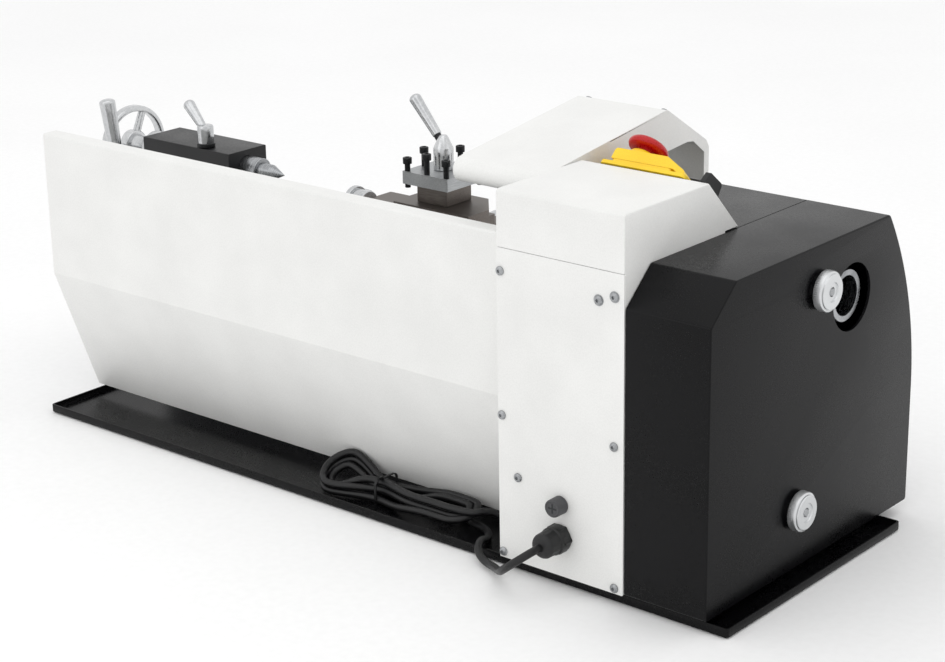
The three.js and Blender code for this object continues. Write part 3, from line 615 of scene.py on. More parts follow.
def hank_turns():
    """The racetrack turns of the hank: straight runs y = middle +- (lane - pinch), where pinch is a
    bell curve at the tie, joined by half circles of the lane's radius. Each lane and layer is eased
    from one to the next along the rear run."""
    left, right, middle = HANK["left"], HANK["right"], HANK["middle"]
    low, mid, high = 6.2, 13.9, 21.6
    outward, homeward = np.linspace(left + 22, right, 13), np.linspace(right, left, 14)
    half = np.linspace(-np.pi / 2, np.pi / 2, 9)[1:-1]

    def leant(x, across, layer):
        """The end loops lean on the guard: z rises and y moves out with a bell curve in x."""
        lean = 20 * ease(x, -5, 45) + 7 * ease(-x, 40, 100)
        share = np.clip((21 - across) / 42, 0, 1)
        wide = 1 + 0.22 * ease(x, -5, 45)
        return np.stack([x, middle + wide * across + 0.4 * lean * share, layer + lean * share], 1)

    def run(x, side, lane, layer):
        pinch = 9.4 * np.exp(-(((x - HANK["tie"]) / 30) ** 2))
        return leant(x, side * (lane - pinch), layer)

    def bend(centre, side, lane, layer):
        turn = half if side > 0 else half + np.pi
        return leant(centre + lane * np.cos(turn), lane * np.sin(turn), layer)

    outer, inner = HANK["outer"], HANK["inner"]
    first_rise = low + (mid - low) * ease(-homeward, 25, 90)
    lane_in = outer + (inner - outer) * ease(-homeward, -25, 25)
    last_rise = low + (high + 0.4 - low) * ease(-homeward, -40, 0)
    dip = mid + (low - mid) * ease(outward, -84, -30)
    return np.concatenate([
        run(outward, -1, outer, low), bend(right, 1, outer, low), run(homeward, 1, outer, first_rise),
        bend(left, -1, outer, mid), run(outward, -1, outer, mid), bend(right, 1, outer, mid),
        run(homeward, 1, lane_in, mid), bend(left, -1, inner, mid), run(outward, -1, inner, dip),
        bend(right, 1, inner, low), run(homeward, 1, inner, last_rise),
    ])


def smooth_route(points, step=4.0):
    """Catmull-Rom through the points, resampled at even steps: each span is a cubic in t whose
    tangents are half the difference of the neighbouring points."""
    points = np.asarray(points, float)
    padded = np.concatenate([2 * points[:1] - points[1:2], points, 2 * points[-1:] - points[-2:-1]])
    a, b, c, d = padded[:-3], padded[1:-2], padded[2:-1], padded[3:]
    t = np.linspace(0, 1, 12, endpoint=False)[None, :, None]
    a, b, c, d = (p[:, None] for p in (a, b, c, d))
    cubic = b + 0.5 * t * (c - a + t * (2 * a - 5 * b + 4 * c - d + t * (3 * (b - c) + d - a)))
    dense = np.concatenate([cubic.reshape(-1, 3), points[-1:]])
    for _ in range(30):
        dense[1:-1] = (dense[:-2] + 2 * dense[1:-1] + dense[2:]) / 4
    run = np.concatenate([[0], np.cumsum(np.linalg.norm(np.diff(dense, axis=0), axis=1))])
    even = np.linspace(0, run[-1], int(run[-1] / step) + 1)
    return np.stack([np.interp(even, run, dense[:, i]) for i in range(3)], 1), run[-1]


def build_cord():
    """The sheath is one tube from the gland to the plug, tied once round its hank."""
    route = np.concatenate([LEAD_ROUTE, hank_turns(), TAIL_ROUTE])
    path, length = smooth_route(route)
    sheath = piece("mains_cord", [carried(circle(CORD_RADIUS, 20), path)], pvc_sheath(), "frame",
                   "cord_rubber",
                   ("cord_lead", "cord_hank", "cord_tail"))
    tie_outer = rectangle(88.6, 121.4, 1.3, 27.2, 6.0)
    tie = piece("cord_tie", [
        prism(tie_outer, "x", -16.4, -13.6, [offset_path(tie_outer, 1.1, True)]),
        prism(rectangle(-16.4, -13.6, 109, 117, 1.2), "z", 26.8, 29.0),
        rod((-15, 113, 28), (-10, 117, 33), 1.0, 0.9), rod((-15, 113, 28), (-19, 118, 31), 1.0, 0.9),
    ], black_nylon(), "frame", "cord_rubber", edge=0.3 * MM)
    plug = build_plug()
    gland = build_gland()
    return gland


def build_plug():
    """Sections carried along X: a superellipse of power 4 for the body, with grip ribs on the neck."""
    at = np.array([-111.6, -110.5, -107, -100, -93, -86, -83, -82.2])
    wide = np.array([12.5, 14.6, 16.4, 16.9, 16.6, 16.2, 15.6, 14.4])
    tall = np.array([10.5, 12.2, 13.4, 13.8, 13.8, 13.6, 13.0, 11.8])
    angle = np.linspace(0, 2 * np.pi, 48, endpoint=False)
    u = np.sign(np.cos(angle)) * np.abs(np.cos(angle)) ** 0.5
    v = np.sign(np.sin(angle)) * np.abs(np.sin(angle)) ** 0.5
    ones = np.ones_like(angle)
    rings = np.stack([at[:, None] * ones, 27 + wide[:, None] * u, 16.2 + tall[:, None] * v], -1)
    along = np.linspace(0, 27.6, 70)
    ribs = 0.9 * np.maximum(np.cos(along / 27.6 * 2 * np.pi * 6), 0) * (along < 22)
    neck = np.stack([along, 4.4 + 5.0 * (along / 27.6) ** 1.4 + ribs], 1)
    neck = np.concatenate([[(0, 0)], neck, [(27.6, 0)]])
    blades = [block(-83, -64.2, 27 + s * 6.35 - 0.75, 27 + s * 6.35 + 0.75, 13, 19, 0.3) for s in (-1, 1)]
    pins = piece("plug_pins", [*blades, rod((-83, 27, 25), (-62.2, 27, 25), 2.4, 2.4)], zinc_plate(),
                 "frame",
                 "steel", edge=0.3 * MM)
    body = piece("plug_body", [lofted(rings), revolved(neck, (-138.7, 27, 13.5), X, 40)], pvc_sheath(),
                 "frame",
                 "cord_rubber", ("plug",), edge=0.3 * MM)
    pins.parent = body
    return body


def build_gland():
    """A turned dome nut with twelve flats, on a hexagon that clamps it to the panel."""
    def flats(along, radius, angle):
        ribbed = (along > 13) & (along < 24)
        return np.where(ribbed, radius - 0.55 * np.abs(np.cos(angle * 6)), radius)

    seat = 154.7
    hexagon = filleted(circle(14, 6, (-273.5, 50)), 1.2, True)
    dome = [(0, 0), (0, 12.4), (1.2, 13.2), (12.4, 13.2), (13.4, 12.4), (23.5, 12.0)]
    fall = np.linspace(0, np.pi / 2, 8)
    dome += [(23.5 + 6.4 * math.sin(a), 5.4 + 6.6 * math.cos(a)) for a in fall[1:]]
    dome += [(30.3, 4.6), (30.3, 0)]
    return piece("gland_body", [
        prism(hexagon, "y", seat, seat + 9.5), revolved(dome, (-273.5, seat, 50), Y, 72, flats),
        revolved([(0, 0), (0, 9.4), (8, 9.4), (8, 0)], (-273.5, seat - 8.5, 50), Y, 40),
    ], black_nylon(), "frame", "black_nylon", ("cable_gland",), edge=0.35 * MM)


# ---------- folded and boxed sheet metal ----------
def box_shell(outline, plane, low, high, sheet, edge, holes=(), open_end=True):
    """A hollow box round an outline. Its low end is a plate with holes; its high end is open or
    closed. The outer edge is a quarter circle: inset edge * (1 - sin a), depth edge * (1 - cos a)."""
    first, second, out = PLANES[plane]
    outline = np.asarray(outline, float)
    inner = offset_path(outline, sheet, True)
    angle = np.linspace(0, np.pi / 2, 5)
    levels = [(offset_path(outline, edge * (1 - math.sin(a)), True), low + edge * (1 - math.cos(a)))
              for a in angle]
    if open_end:
        levels.append((outline, high))
        levels.append((inner, high))
    else:
        levels += [(loop, high + low - level) for loop, level in levels[::-1]]
    around = len(outline)

    def placed(loop, level):
        return loop[:, :1] * first + loop[:, 1:] * second + level * out

    points = [placed(loop, level) for loop, level in levels]
    if not open_end:
        points.append(placed(inner, high - sheet))
    points.append(placed(inner, low + sheet))
    rings = len(points)
    outer_end = rings - 1 if open_end else rings - 2
    faces = []
    index = np.arange(rings * around).reshape(rings, around)
    for a in range(rings - 1):
        if not open_end and a == outer_end - 1:
            continue
        faces += np.stack([index[a], np.roll(index[a], -1), np.roll(index[a + 1], -1), index[a + 1]],
                          1).tolist()
    loops = [np.asarray(hole, float) for hole in holes]
    total = rings * around
    face_index, floor_index = list(index[0]), list(index[-1])
    for loop in loops:
        near, far = total + np.arange(len(loop)), total + len(loop) + np.arange(len(loop))
        points += [placed(loop, low), placed(loop, low + sheet)]
        faces += np.stack([near, np.roll(near, -1), np.roll(far, -1), far], 1).tolist()
        face_index += near.tolist()
        floor_index += far.tolist()
        total += 2 * len(loop)
    for loop, numbers in ((levels[0][0], face_index), (inner, floor_index)):
        cap = tessellate_polygon([[Vector((*p, 0)) for p in one] for one in (loop, *loops)])
        faces += [[int(numbers[i]) for i in triangle] for triangle in cap]
    if not open_end:
        faces += [index[outer_end - 1].tolist(), index[outer_end].tolist()]
    return np.concatenate(points), faces


def cover_curve(steps=28):
    """The covers' front curve: an arc tangent to the straight wall, from the top edge down."""
    across, rise = CURVE_TOP_Y - COVER_FRONT, COVER_TOP - CURVE_LOW_Z
    radius = (across**2 + rise**2) / (2 * across)
    angle = np.linspace(math.asin(rise / radius), 0, steps)
    return np.stack([COVER_FRONT + radius * (1 - np.cos(angle)), CURVE_LOW_Z + radius * np.sin(angle)], 1)


def with_corners(parts, radius, closed=False):
    """Joins path parts and rounds only the corners named in radius: {corner number: mm}."""
    points = np.concatenate([np.atleast_2d(p) for p in parts])
    radii = np.zeros(len(points))
    for number, size in radius.items():
        radii[number] = size
    return filleted(points, radii, closed)


# ---------- tray and bed ----------
def build_tray():
    """A pressed tray: rounded rectangles lofted up the outside, over the rim and down the inside."""
    low, high = corners("chip_tray")
    rings = []
    for inset, level, radius in (
        (1.2, 0.0, 2.0), (0.35, 0.35, 2.6), (0, 1.2, 3.0), (0, high[2] - 0.5, 3.0),
        (0.25, high[2] - 0.1, 2.9),
        (0.7, high[2], 2.6), (1.6, high[2], 2.2), (2, high[2] - 0.4, 2.0), (2, 3.2, 2.0), (2.5, 2.3, 1.8),
        (3.6, 2, 1.5),
    ):
        loop = rectangle(low[0] + inset, high[0] - inset, low[1] + inset, high[1] - inset, radius)
        rings.append(np.column_stack([loop, np.full(len(loop), level)]))
    piece("tray_pressing", [lofted(rings)], black_enamel(), "frame", "black_paint", ("chip_tray",))


def build_bed():
    """The bed's section is carried along X, with its two ridges, on two foot blocks."""
    front, rear, base, top = -124.0, -20.0, 22.0, 145.0
    ridge = [(6, 0), (0.8, 5.4), (-0.8, 5.4), (-6, 0)]
    section = [(front, base), (rear, base), (rear, top)] + [(-34 + a, top + b) for a, b in ridge]
    section += [(-50, top), (-50, 128), (-34, 118), (-34, 36), (-110, 36), (-110, 118), (-94, 128),
                (-94, top)]
    section += [(-110 + a, top + b) for a, b in ridge] + [(front, top)]
    shells = [prism(section, "x", -338, 440)]
    for x0, x1 in ((-300, -220), (330, 410)):
        shells.append(block(x0, x1, front, rear, 2.3, base - 0.01, 3))
    piece("bed_casting", shells, cast_iron(), "frame", "cast_iron", ("bed",), edge=0.7 * MM)


# ---------- headstock ----------
def build_headstock_covers():
    curve = cover_curve()
    path = with_corners([(1.4, COVER_TOP), curve, (COVER_FRONT, 14)], {1: 6})
    shell = prism(np.concatenate([path, offset_path(path, 2.5)[::-1]]), "x", -343, -204)
    wall = with_corners([(1.4, COVER_TOP - 2.5), curve, (COVER_FRONT, 14), (-126.6, 14), (-126.6, 302.5),
                         (1.4, 302.5)], {})
    wall = np.where(wall[:, :1] < -126.6, wall + [2.5, 0], wall)
    wall = wall[(wall[:, 1] <= COVER_TOP - 2.4)]
    hole = circle(10, 32, (-150.692, 84.783))
    end = prism(wall, "x", -206.5, -204.05, [hole])
    piece("front_cover", [shell, end], black_enamel(), "frame", "black_paint", ("headstock_front_cover",),
          edge=0.6 * MM)
    display = rectangle(-322, -222, 190, 240, 4)
    piece("display_bezel", [prism(display, "y", -193.2, -189.5)], black_nylon(), "frame", "black_nylon",
          edge=0.8 * MM)
    glass = rectangle(-304, -240, 203, 227, 2)
    piece("display_pane", [prism(glass, "y", -194.0, -193.0)], smoked_acrylic(), "frame", "clear_plastic",
          edge=0.3 * MM)
    for node, x in (("speed_knob", -240.0), ("direction_knob", -300.0)):
        face = -190.8

        def flutes(along, radius, angle):
            grip = (along > 3) & (along < 16) & (radius > 8)
            return np.where(grip, radius - 0.5 * (1 + np.cos(angle * 18)), radius)

        profile = [(0, 0), (0, 15.4), (0.6, 16), (3, 16), (3.6, 14.6), (9, 14.2), (15, 13.4), (17, 12.6),
                   (18, 11), (18, 0)]
        pointer = block(x - 0.7, x + 0.7, face - 18.3, face - 17, 111, 120.5)
        spigot = revolved([(0, 0), (0, 3), (10, 3), (10, 0)], (x, face, 110), Y, 24)
        knob = piece(f"{node}_moulding", [revolved(profile, (x, face, 110), -Y, 72, flutes), spigot],
                     black_nylon(), node, "black_nylon", (node,), edge=0.3 * MM)
        mark = piece(f"{node}_pointer", [pointer], white_powder(), node, "white_paint", edge=0.15 * MM)
        mark.parent = knob


def build_end_cover():
    """A box of sheet steel open towards the headstock, with three holes in its end plate."""
    left, right, sheet = -431.3, -344.0, 2.5
    curve = cover_curve()
    corners_at = {0: 3, 1: 4, 2: 4, 3: 5, 3 + len(curve): 3}
    outline = with_corners([(153.5, 12), (153.5, 280), (117, COVER_TOP), curve, (COVER_FRONT, 12)],
                           corners_at, True)
    holes = [circle(32, 64, (AXIS_Y, AXIS_Z)), circle(4.6, 24, (-17, 271)), circle(4.6, 24, (13.5, 71))]
    shell = box_shell(outline, "x", left, right, sheet, 1.4, holes)
    piece("end_cover_pressing", [shell], black_enamel(), "end_cover", "black_paint", ("end_cover",))
    for node, body, y, z in (("thumb_nut_upper", "nut_upper", -17.0, 271.0),
                             ("thumb_nut_lower", "nut_lower", 13.5, 71.0)):

        def knurl(along, radius, angle):
            band = (along > 3.4) & (along < 9.4) & (radius > 17)
            return np.where(band, radius - 0.55 * np.abs(np.sin(angle * 30)), radius)

        seat = left - 0.3
        profile = [(0, 4.4), (0, 11.4), (0.5, 12), (2.6, 12), (2.8, 18.2), (3.5, 19), (9.3, 19),
                   (10.4, 18.2),
                   (11.2, 16.6), (12.3, 16.4), (12.9, 15.7), (12.9, 9.2), (11.6, 8.6), (11.6, 4.4),
                   (0, 4.4)]
        piece(f"{node}_turning", [revolved(profile, (seat, y, z), -X, 120, knurl)], bright_aluminium(),
              body,
              "turned_aluminium", (node,), edge=0.0)
    for node, start, y, z in (("cover_stud_upper", -338.3, -17.0, 271.0),
                              ("cover_stud_lower", -343.3, 13.5, 71.0)):
        length = 444.0 + start
        thread = np.linspace(length - 34, length - 1, 133)
        ridge = 3.75 + 0.22 * np.cos(thread / 1.25 * 2 * np.pi)
        profile = [(0, 0), (0, 4), (length - 34.5, 4), *np.stack([thread, ridge], 1), (length, 3.2),
                   (length, 0)]
        piece(f"{node}_turning", [revolved(profile, (start, y, z), -X, 28)], zinc_plate(), "frame", "steel",
              (node,))


# ---------- electrics box ----------
def build_box():
    outline = with_corners(
        [[(2, 11.6), (152.5, 11.6), (152.5, 311), (154.3, 311), (154.3, 363.5), (29.5, 363.5),
          (-18.8, 313.3), (2, 313.3)]],
        {0: 2.6, 1: 2.6, 4: 3.2, 5: 3.2}, True)
    shaft = circle(12, 32, (84, 92))
    shell = box_shell(outline, "x", -343, -202.4, 2, 1.3, [shaft], open_end=False)
    piece("box_pressing", [shell], white_powder(), "frame", "white_paint", ("electrics_housing",))
    panel = rectangle(-343, -202.4, 11.6, 310.4, 1.2)
    holes = [circle(10, 40, (-273.5, 50)), circle(6.5, 32, (-274, 82))]
    piece("box_rear_panel", [prism(panel, "y", 152.8, 154.3, holes)], white_powder(), "frame",
          "white_paint",
          ("rear_panel",), edge=0.45 * MM)
    screws = [(-206.8, 289), (-316, 283), (-333, 289), (-207, 152.5), (-333, 152), (-225, 95.6),
              (-207, 17.6), (-334, 17)]
    heads = [socket_head(np.array((x, 154.35, z)), Y, 4.4, 2.6, 2.2, 1.5) for x, z in screws]
    washers = [revolved(bored_profile(0, 0.5, 2.6, 5.2, 0.1), (x, 154.32, z), Y, 32) for x,
               z in screws[1:3]]
    piece("panel_screws", heads + washers, zinc_plate(), "frame", "steel")
    build_fuse()
    build_bezel()


def build_fuse():
    def grip(along, radius, angle):
        return np.where((along > 1.5) & (along < 11) & (radius > 6),
                        radius - 0.2 * np.abs(np.sin(angle * 20)), radius)

    seat = 154.6
    profile = [(-19.4, 0), (-19.4, 6), (0, 6), (0, 8.3), (0.4, 8.6), (1, 8.6), (11.6, 8.5), (12.6, 8.2),
               (13, 7.6),
               (13, 6.6), (12.4, 6.2), (12.4, 0)]
    cap = revolved(profile, (-274, seat, 82), Y, 80, grip)
    body = piece("fuse_cap", [cap], grey_nylon(), "frame", "black_nylon", ("fuse_holder",), edge=0.3 * MM)
    # The cross-shaped screwdriver slot is a thin dark acrylic sheet lying just proud of the cap's face:
    # painted shade standing in for the slot's recess.
    slot = piece("fuse_slot_painted_shade", [
        prism(rectangle(-278.6, -269.4, 81.1, 82.9, 0.3), "y", seat + 11.9, seat + 12.5),
        prism(rectangle(-274.9, -273.1, 77.4, 86.6, 0.3), "y", seat + 11.9, seat + 12.55),
    ], smoked_acrylic(), "frame", "black_nylon")
    slot.parent = body


def build_bezel():
    face = rectangle(-338, -206, -31, 27, 4)
    cheek = filleted([(34, 0.4), (32, 12), (8.4, 15), (4.9, 0.4)], [0, 2.5, 3, 0], True)
    points, faces = prism(cheek, "x", -338, -333)
    turned = SLOPE_ORIGIN + points[:, :1] * X + points[:, 1:2] * SLOPE_UP + points[:, 2:] * SLOPE_OUT
    piece("control_plate", [prism(face, "slope", 0.3, 3.3), (turned, faces)], black_nylon(), "frame",
          "black_paint", ("control_bezel",), edge=0.6 * MM)
    flange = rectangle(-312, -218, -30, 30, 5)
    base = rectangle(-290, -224.5, -23, 23, 3)
    switch = piece("switch_base", [prism(flange, "slope", 3.6, 7.2), prism(base, "slope", 6.6, 13.3)],
                   yellow_abs(),
                   "frame", "yellow_plastic", ("stop_switch_base",), edge=0.9 * MM)
    screws = [socket_head(slope_point(x, v, 7.1), SLOPE_OUT, 3.2, 1.9, 1.5, 1.2) for x in (-307, -222)
              for v in (-23, 23)]
    heads = piece("switch_screws", screws, zinc_plate(), "frame", "steel")
    heads.parent = switch
    side = filleted([(-223, 13.6), (-223, 25), (-281, 25), (-304, 14), (-306, 9), (-300, 9), (-292, 13.6)],
                    [0.5, 3, 6, 3, 0.8, 0.5, 0.5], True)
    points, faces = prism(side, "x", -23, 23)
    placed = SLOPE_ORIGIN + points[:, 1:2] * X + points[:, 2:3] * SLOPE_OUT + points[:, :1] * SLOPE_UP
    lid = piece("switch_lid", [(placed, faces)], yellow_abs(), "stop_lid", "yellow_plastic",
                ("stop_switch_lid",),
                edge=1.6 * MM)
    centre = slope_point(-239, 0, 0)
    cut(lid, [revolved([(8, 0), (8, 9.6), (34, 9.6), (34, 0)], centre, SLOPE_OUT, 48)])
    collar = [(24.6, 9.7), (24.6, 14), (25.4, 14.8), (32, 14.2), (33.6, 13), (33.6, 9.7), (24.6, 9.7)]
    ring = piece("switch_collar", [revolved(collar, centre, SLOPE_OUT, 64)], yellow_abs(), "stop_lid",
                 "yellow_plastic",
                 edge=0.3 * MM)
    ring.parent = lid
    dome = np.linspace(0, np.pi / 2, 9)
    mushroom = [(17.8, 0), (17.8, 9), (38, 9), (38.2, 17.6), (38.8, 18.8), (40.4, 19.8), (42, 20)]
    mushroom += [(42.4 + 7.2 * math.sin(a), 19.8 * math.cos(a)) for a in dome]
    piece("button_mushroom", [revolved(mushroom, centre, SLOPE_OUT, 72)], red_abs(), "stop_button",
          "red_plastic",
          ("stop_button",))


# ---------- guards ----------
def build_splash_guard():
    path = filleted([(76, 12.9), (127.3, 156.8), (127.3, 313.3), (109, 313.3)], [0, 4, 2.4, 0])
    section = np.concatenate([path, offset_path(path, 1.6)[::-1]])
    guard = piece("splash_guard_sheet", [prism(section, "x", -201.8, 451)], white_powder(), "frame",
                  "white_paint",
                  ("splash_guard",), edge=0.6 * MM)
    ends = [prism(filleted([(109.4, 311.6), (125.6, 311.6), (125.6, 296)], [0, 2, 0]), "x", x, x + 1.5)
            for x in (449.3,)]
    tab = piece("splash_guard_corner", ends, white_powder(), "frame", "white_paint", edge=0.3 * MM)
    tab.parent = guard


def build_hood():
    left, right, sheet = -199.0, -92.0, 1.5
    corner = [(70.4, 359.9), (-110, 383.6), (-177, 341), (-182, 333), (-182, 236)]
    path = filleted(corner, [0, 6, 5, 4, 0])
    section = np.concatenate([path, offset_path(path, sheet)[::-1]])
    cheek = np.concatenate([offset_path(path, sheet),
                            [(-174, 236), (-174, 329), (-155, 343.5), (-145, 345), (40, 330), (66, 337)]])
    shells = [prism(cheek, "x", x, x + sheet) for x in (left, right - sheet)]
    sheet_piece = piece("hood_sheet", [prism(section, "x", left, right)], white_powder(), "chuck_guard",
                        "white_paint",
                        ("chuck_guard",), edge=0.5 * MM)
    along = np.array([-67.0, -42.6]) / math.hypot(67, 42.6)
    start, end = np.array([-110, 383.6]) + 11 * along, np.array([-177, 341]) - 11 * along
    normal = np.array([along[1], -along[0]])
    window = np.array([start + 6 * normal, end + 6 * normal, end - 6 * normal, start - 6 * normal])
    cut(sheet_piece, [prism(window, "x", left + 21, right - 20)])
    cheeks = piece("hood_cheeks", shells, white_powder(), "chuck_guard", "white_paint", edge=0.4 * MM)
    barrel = revolved(bored_profile(left, right, 5.6, 12, 1.2), (0, 72, 348), X, 72)
    roll = piece("hood_roll", [barrel], white_powder(), "chuck_guard", "white_paint", edge=0.2 * MM)
    pane_a, pane_b = np.array((-113, 381.69)), np.array((-173, 343.54))
    inward = -normal if normal[1] > 0 else normal
    pane = np.array([pane_a + 0.3 * inward + 1.5 * inward, pane_b + 1.8 * inward, pane_b + 3.6 * inward,
                     pane_a + 3.6 * inward])
    piece("hood_pane", [prism(pane, "x", left + 13, right - 12)], clear_pane(), "chuck_guard",
          "clear_plastic",
          ("guard_window",), edge=0.2 * MM)
    outward = np.array([0, *(-inward)])
    screws = []
    for x in (left + 8, right - 8):
        for at in (start - 4 * along, end + 2 * along):
            screws.append(socket_head(np.array((x, *at)) + outward * 0.1, outward, 3.6, 2.2, 1.8, 1.3))
    for x in (left + 8, right - 8):
        screws.append(socket_head(np.array((x, -182.1, 246)), -Y, 3.6, 2.2, 1.8, 1.3))
    heads = piece("hood_screws", screws, zinc_plate(), "chuck_guard", "steel")
    for child in (cheeks, roll, heads):
        child.parent = sheet_piece
    profile = [(-202.1, 0), (-202.1, 5), (-85.6, 5), (-85, 4.4), (-85, 0)]
    piece("hood_pivot_rod", [revolved(profile, (0, 72, 348), X, 40)], turned_steel(), "frame", "steel",
          ("guard_pivot_rod",))


# ---------- spindle ----------
def build_spindle():
    line = (0, AXIS_Y, AXIS_Z)
    profile = [(-425, 19), (-425, 24.2), (-424.2, 25), (-200, 25), (-200, 35.4), (-199.4, 36), (-186.6, 36),
               (-186, 35.4),
               (-186, 19), (-425, 19)]
    piece("spindle_turning", [revolved(profile, line, X, 72)], turned_steel(), "spindle", "steel",
          ("spindle",))
    body = [(-185.7, 16), (-185.7, 61.6), (-184.9, 62.4), (-172, 62.4), (-171.4, 61.4), (-168.6, 61.4),
            (-168, 62.4),
            (-132.6, 62.4), (-130.7, 60.6), (-130.7, 40), (-131.4, 39.6), (-131.4, 18), (-130.9, 17),
            (-130.9, 16),
            (-185.7, 16)]
    chuck = piece("chuck_turning", [revolved(body, line, X, 96)], turned_steel(), "spindle", "steel",
                  ("chuck_body",),
                  edge=0.3 * MM)
    for turn in (0, 2 * np.pi / 3, 4 * np.pi / 3):
        out = np.array((0, math.cos(turn), math.sin(turn)))
        side = np.array((0, -math.sin(turn), math.cos(turn)))
        slot, faces = block(-148, -120, -7.3, 7.3, 0, 70)
        shape = np.array(line) + slot[:, :1] * X + slot[:, 1:2] * side + slot[:, 2:] * out
        cut(chuck, [(shape, faces)])
    for number in (1, 2, 3):
        turn = (number - 1) * 2 * np.pi / 3
        out = np.array((0, math.cos(turn), math.sin(turn)))
        side = np.array((0, -math.sin(turn), math.cos(turn)))
        outline = [(-147.6, 22), (-110, 22), (-110, 33), (-118, 33), (-118, 44), (-130, 44), (-130, 56),
                   (-147.6, 56)]
        points, faces = prism(outline, "y", -7, 7)
        placed = np.array(line) + points[:, :1] * X + points[:, 1:2] * side + points[:, 2:] * out
        piece(f"jaw_{number}_step", [(placed, faces)], ground_steel(), f"jaw_{number}", "steel",
              (f"chuck_jaw_{number}",), edge=0.6 * MM)


# ---------- wheels and levers ----------
def wheel_shells(origin, axis, grip_to, radius, rim, depth, hub, shaft, reach, grip):
    """A handwheel: a rim with a rounded section, a turned hub and shaft, three arms and a grip."""
    origin, axis, grip_to = (np.asarray(v, float) for v in (origin, axis, grip_to))
    grip_to /= np.linalg.norm(grip_to)
    across = np.cross(axis, grip_to)
    section = rectangle(reach, reach + depth, radius - rim, radius, min(rim, depth) * 0.42)
    rim_shell = revolved(np.concatenate([section, section[:1]]), origin, axis, 96)
    top = reach + depth
    hub_shell = revolved([(reach, 0), (reach, hub - 1), (reach + 1, hub), (top - 1, hub), (top, hub - 1.2),
                          (top, shaft * 0.7), (top + 1, shaft * 0.6), (top + 1.4, 0)], origin, axis, 48)
    shaft_shell = revolved([(0, 0), (0, shaft), (reach + 1, shaft), (reach + 1, 0)], origin, axis, 40)
    shells = [rim_shell, hub_shell, shaft_shell]
    middle = origin + axis * (reach + depth / 2)
    far = radius - rim / 2
    for turn in (0, 2 * math.pi / 3, 4 * math.pi / 3):
        way = grip_to * math.cos(turn) + across * math.sin(turn)
        shells.append(rod(middle + way * hub * 0.5, middle + way * far, 4.8, 4.2, 0.1, 0.1, 24))
    handle = middle + grip_to * far
    shells.append(rod(handle, handle + axis * (depth / 2 + grip), 3.6, 6.2, 0.1, 0.9, 32, belly=0.6))
    return shells


def build_carriage():
    saddle = [(-132, 145.4), (-117.6, 145.4), (-110, 152.9), (-102.4, 145.4), (-41.6, 145.4), (-34, 152.9),
              (-26.4, 145.4), (-8, 145.4), (-8, 172), (-132, 172)]
    dovetail = [(104, 171), (148, 171), (152, 180), (100, 180)]
    piece("saddle_casting", [
        prism(saddle, "x", 62, 190), block(70, 180, -172, -130, 150, 172, 3),
        prism(dovetail, "y", -172, -8),
    ], cast_iron(), "carriage", "cast_iron", ("saddle",), edge=0.6 * MM)
    hole = circle(9.5, 32, (-150.692, 84.783))
    face = filleted([(-176, 60), (-132.4, 60), (-132.4, 149.6), (-176, 149.6)], [6, 1, 1, 4], True)
    piece("apron_casting", [prism(face, "x", 70, 180, [hole])], enamelled_casting(), "carriage",
          "black_paint",
          ("apron",), edge=0.8 * MM)
    piece("apron_wheel_chrome", wheel_shells((100, -176.3, 100), -Y, Z, 45, 7, 11, 13, 8, 12, 25),
          bright_chrome(),
          "apron_wheel", "bright_steel", ("apron_handwheel",), edge=0.3 * MM)
    grip_to = (0.5, 0, 0.866)
    piece("cross_wheel_chrome", wheel_shells((126, -172.3, 160), -Y, grip_to, 34, 6, 10, 12, 7, 61, 22),
          bright_chrome(), "cross_wheel", "bright_steel", ("cross_slide_handwheel",), edge=0.3 * MM)
    hub = [(0, 0), (0, 8.4), (0.6, 9), (13, 9), (14, 8), (14, 0)]
    piece("half_nut_lever_chrome", [
        revolved(hub, (160, -176.3, 110), -Y, 48),
        rod((160, -185.3, 110), (198, -185.3, 98), 3.8, 7, 0.1, 1.0),
    ], bright_chrome(), "half_nut_lever", "bright_steel", ("half_nut_lever",), edge=0.3 * MM)
    body = [(91, 172.4), (103.1, 172.4), (99.2, 180.6), (152.8, 180.6), (148.9, 172.4), (161, 172.4),
            (161, 200), (91, 200)]
    piece("cross_slide_casting", [prism(body, "y", -222, -78)], milled_steel(), "cross_slide", "cast_iron",
          ("cross_slide",), edge=0.6 * MM)
    piece("top_slide_bed", [block(84, 238, -190, -118, 200.3, 214, 2)], milled_steel(), "cross_slide",
          "steel",
          ("top_slide_base",), edge=0.5 * MM)
    screws = [socket_head(np.array((x, -117.9, 207)), Y, 3, 1.2, 0.6, 1.6) for x in (110, 150, 190)]
    piece("gib_screws", screws, black_oxide(), "cross_slide", "steel")


def build_top_slide():
    outline = filleted([(92, -188), (170, -188), (170, -119), (63, -119), (63, -154)], 1.5, True)
    stud = [(229, 0), (229, 7), (267.2, 7), (268, 6.2), (268, 0)]
    piece("top_slide_block", [prism(outline, "z", 214.3, 230), revolved(stud, (126, -154, 0), Z, 40)],
          milled_steel(),
          "top_slide", "steel", ("top_slide",), edge=0.6 * MM)
    profile = [(0, 0), (0, 14.4), (0.6, 15), (17.7, 15), (17.7, 17.4), (18.3, 18), (23.1, 18), (23.7, 17.4),
               (23.7, 8),
               (33.2, 8), (33.7, 7.4), (33.7, 0)]

    def scale_marks(along, radius, angle):
        return np.where((along > 18) & (along < 23.5) & (radius > 17),
                        radius - 0.3 * (np.cos(angle * 40) > 0.6), radius)

    y, z = -154, 207
    piece("top_handle_chrome", [
        revolved(profile, (238.3, y, z), X, 120, scale_marks),
        rod((267, y - 30, z), (267, y + 32, z), 4.5, 4.5, 1, 1),
        rod((264, y - 30, z), (284, y - 30, z), 5.6, 4.8, 0.2, 1, belly=0.6),
    ], bright_chrome(), "top_handle", "bright_steel", ("top_slide_handle",), edge=0.2 * MM)


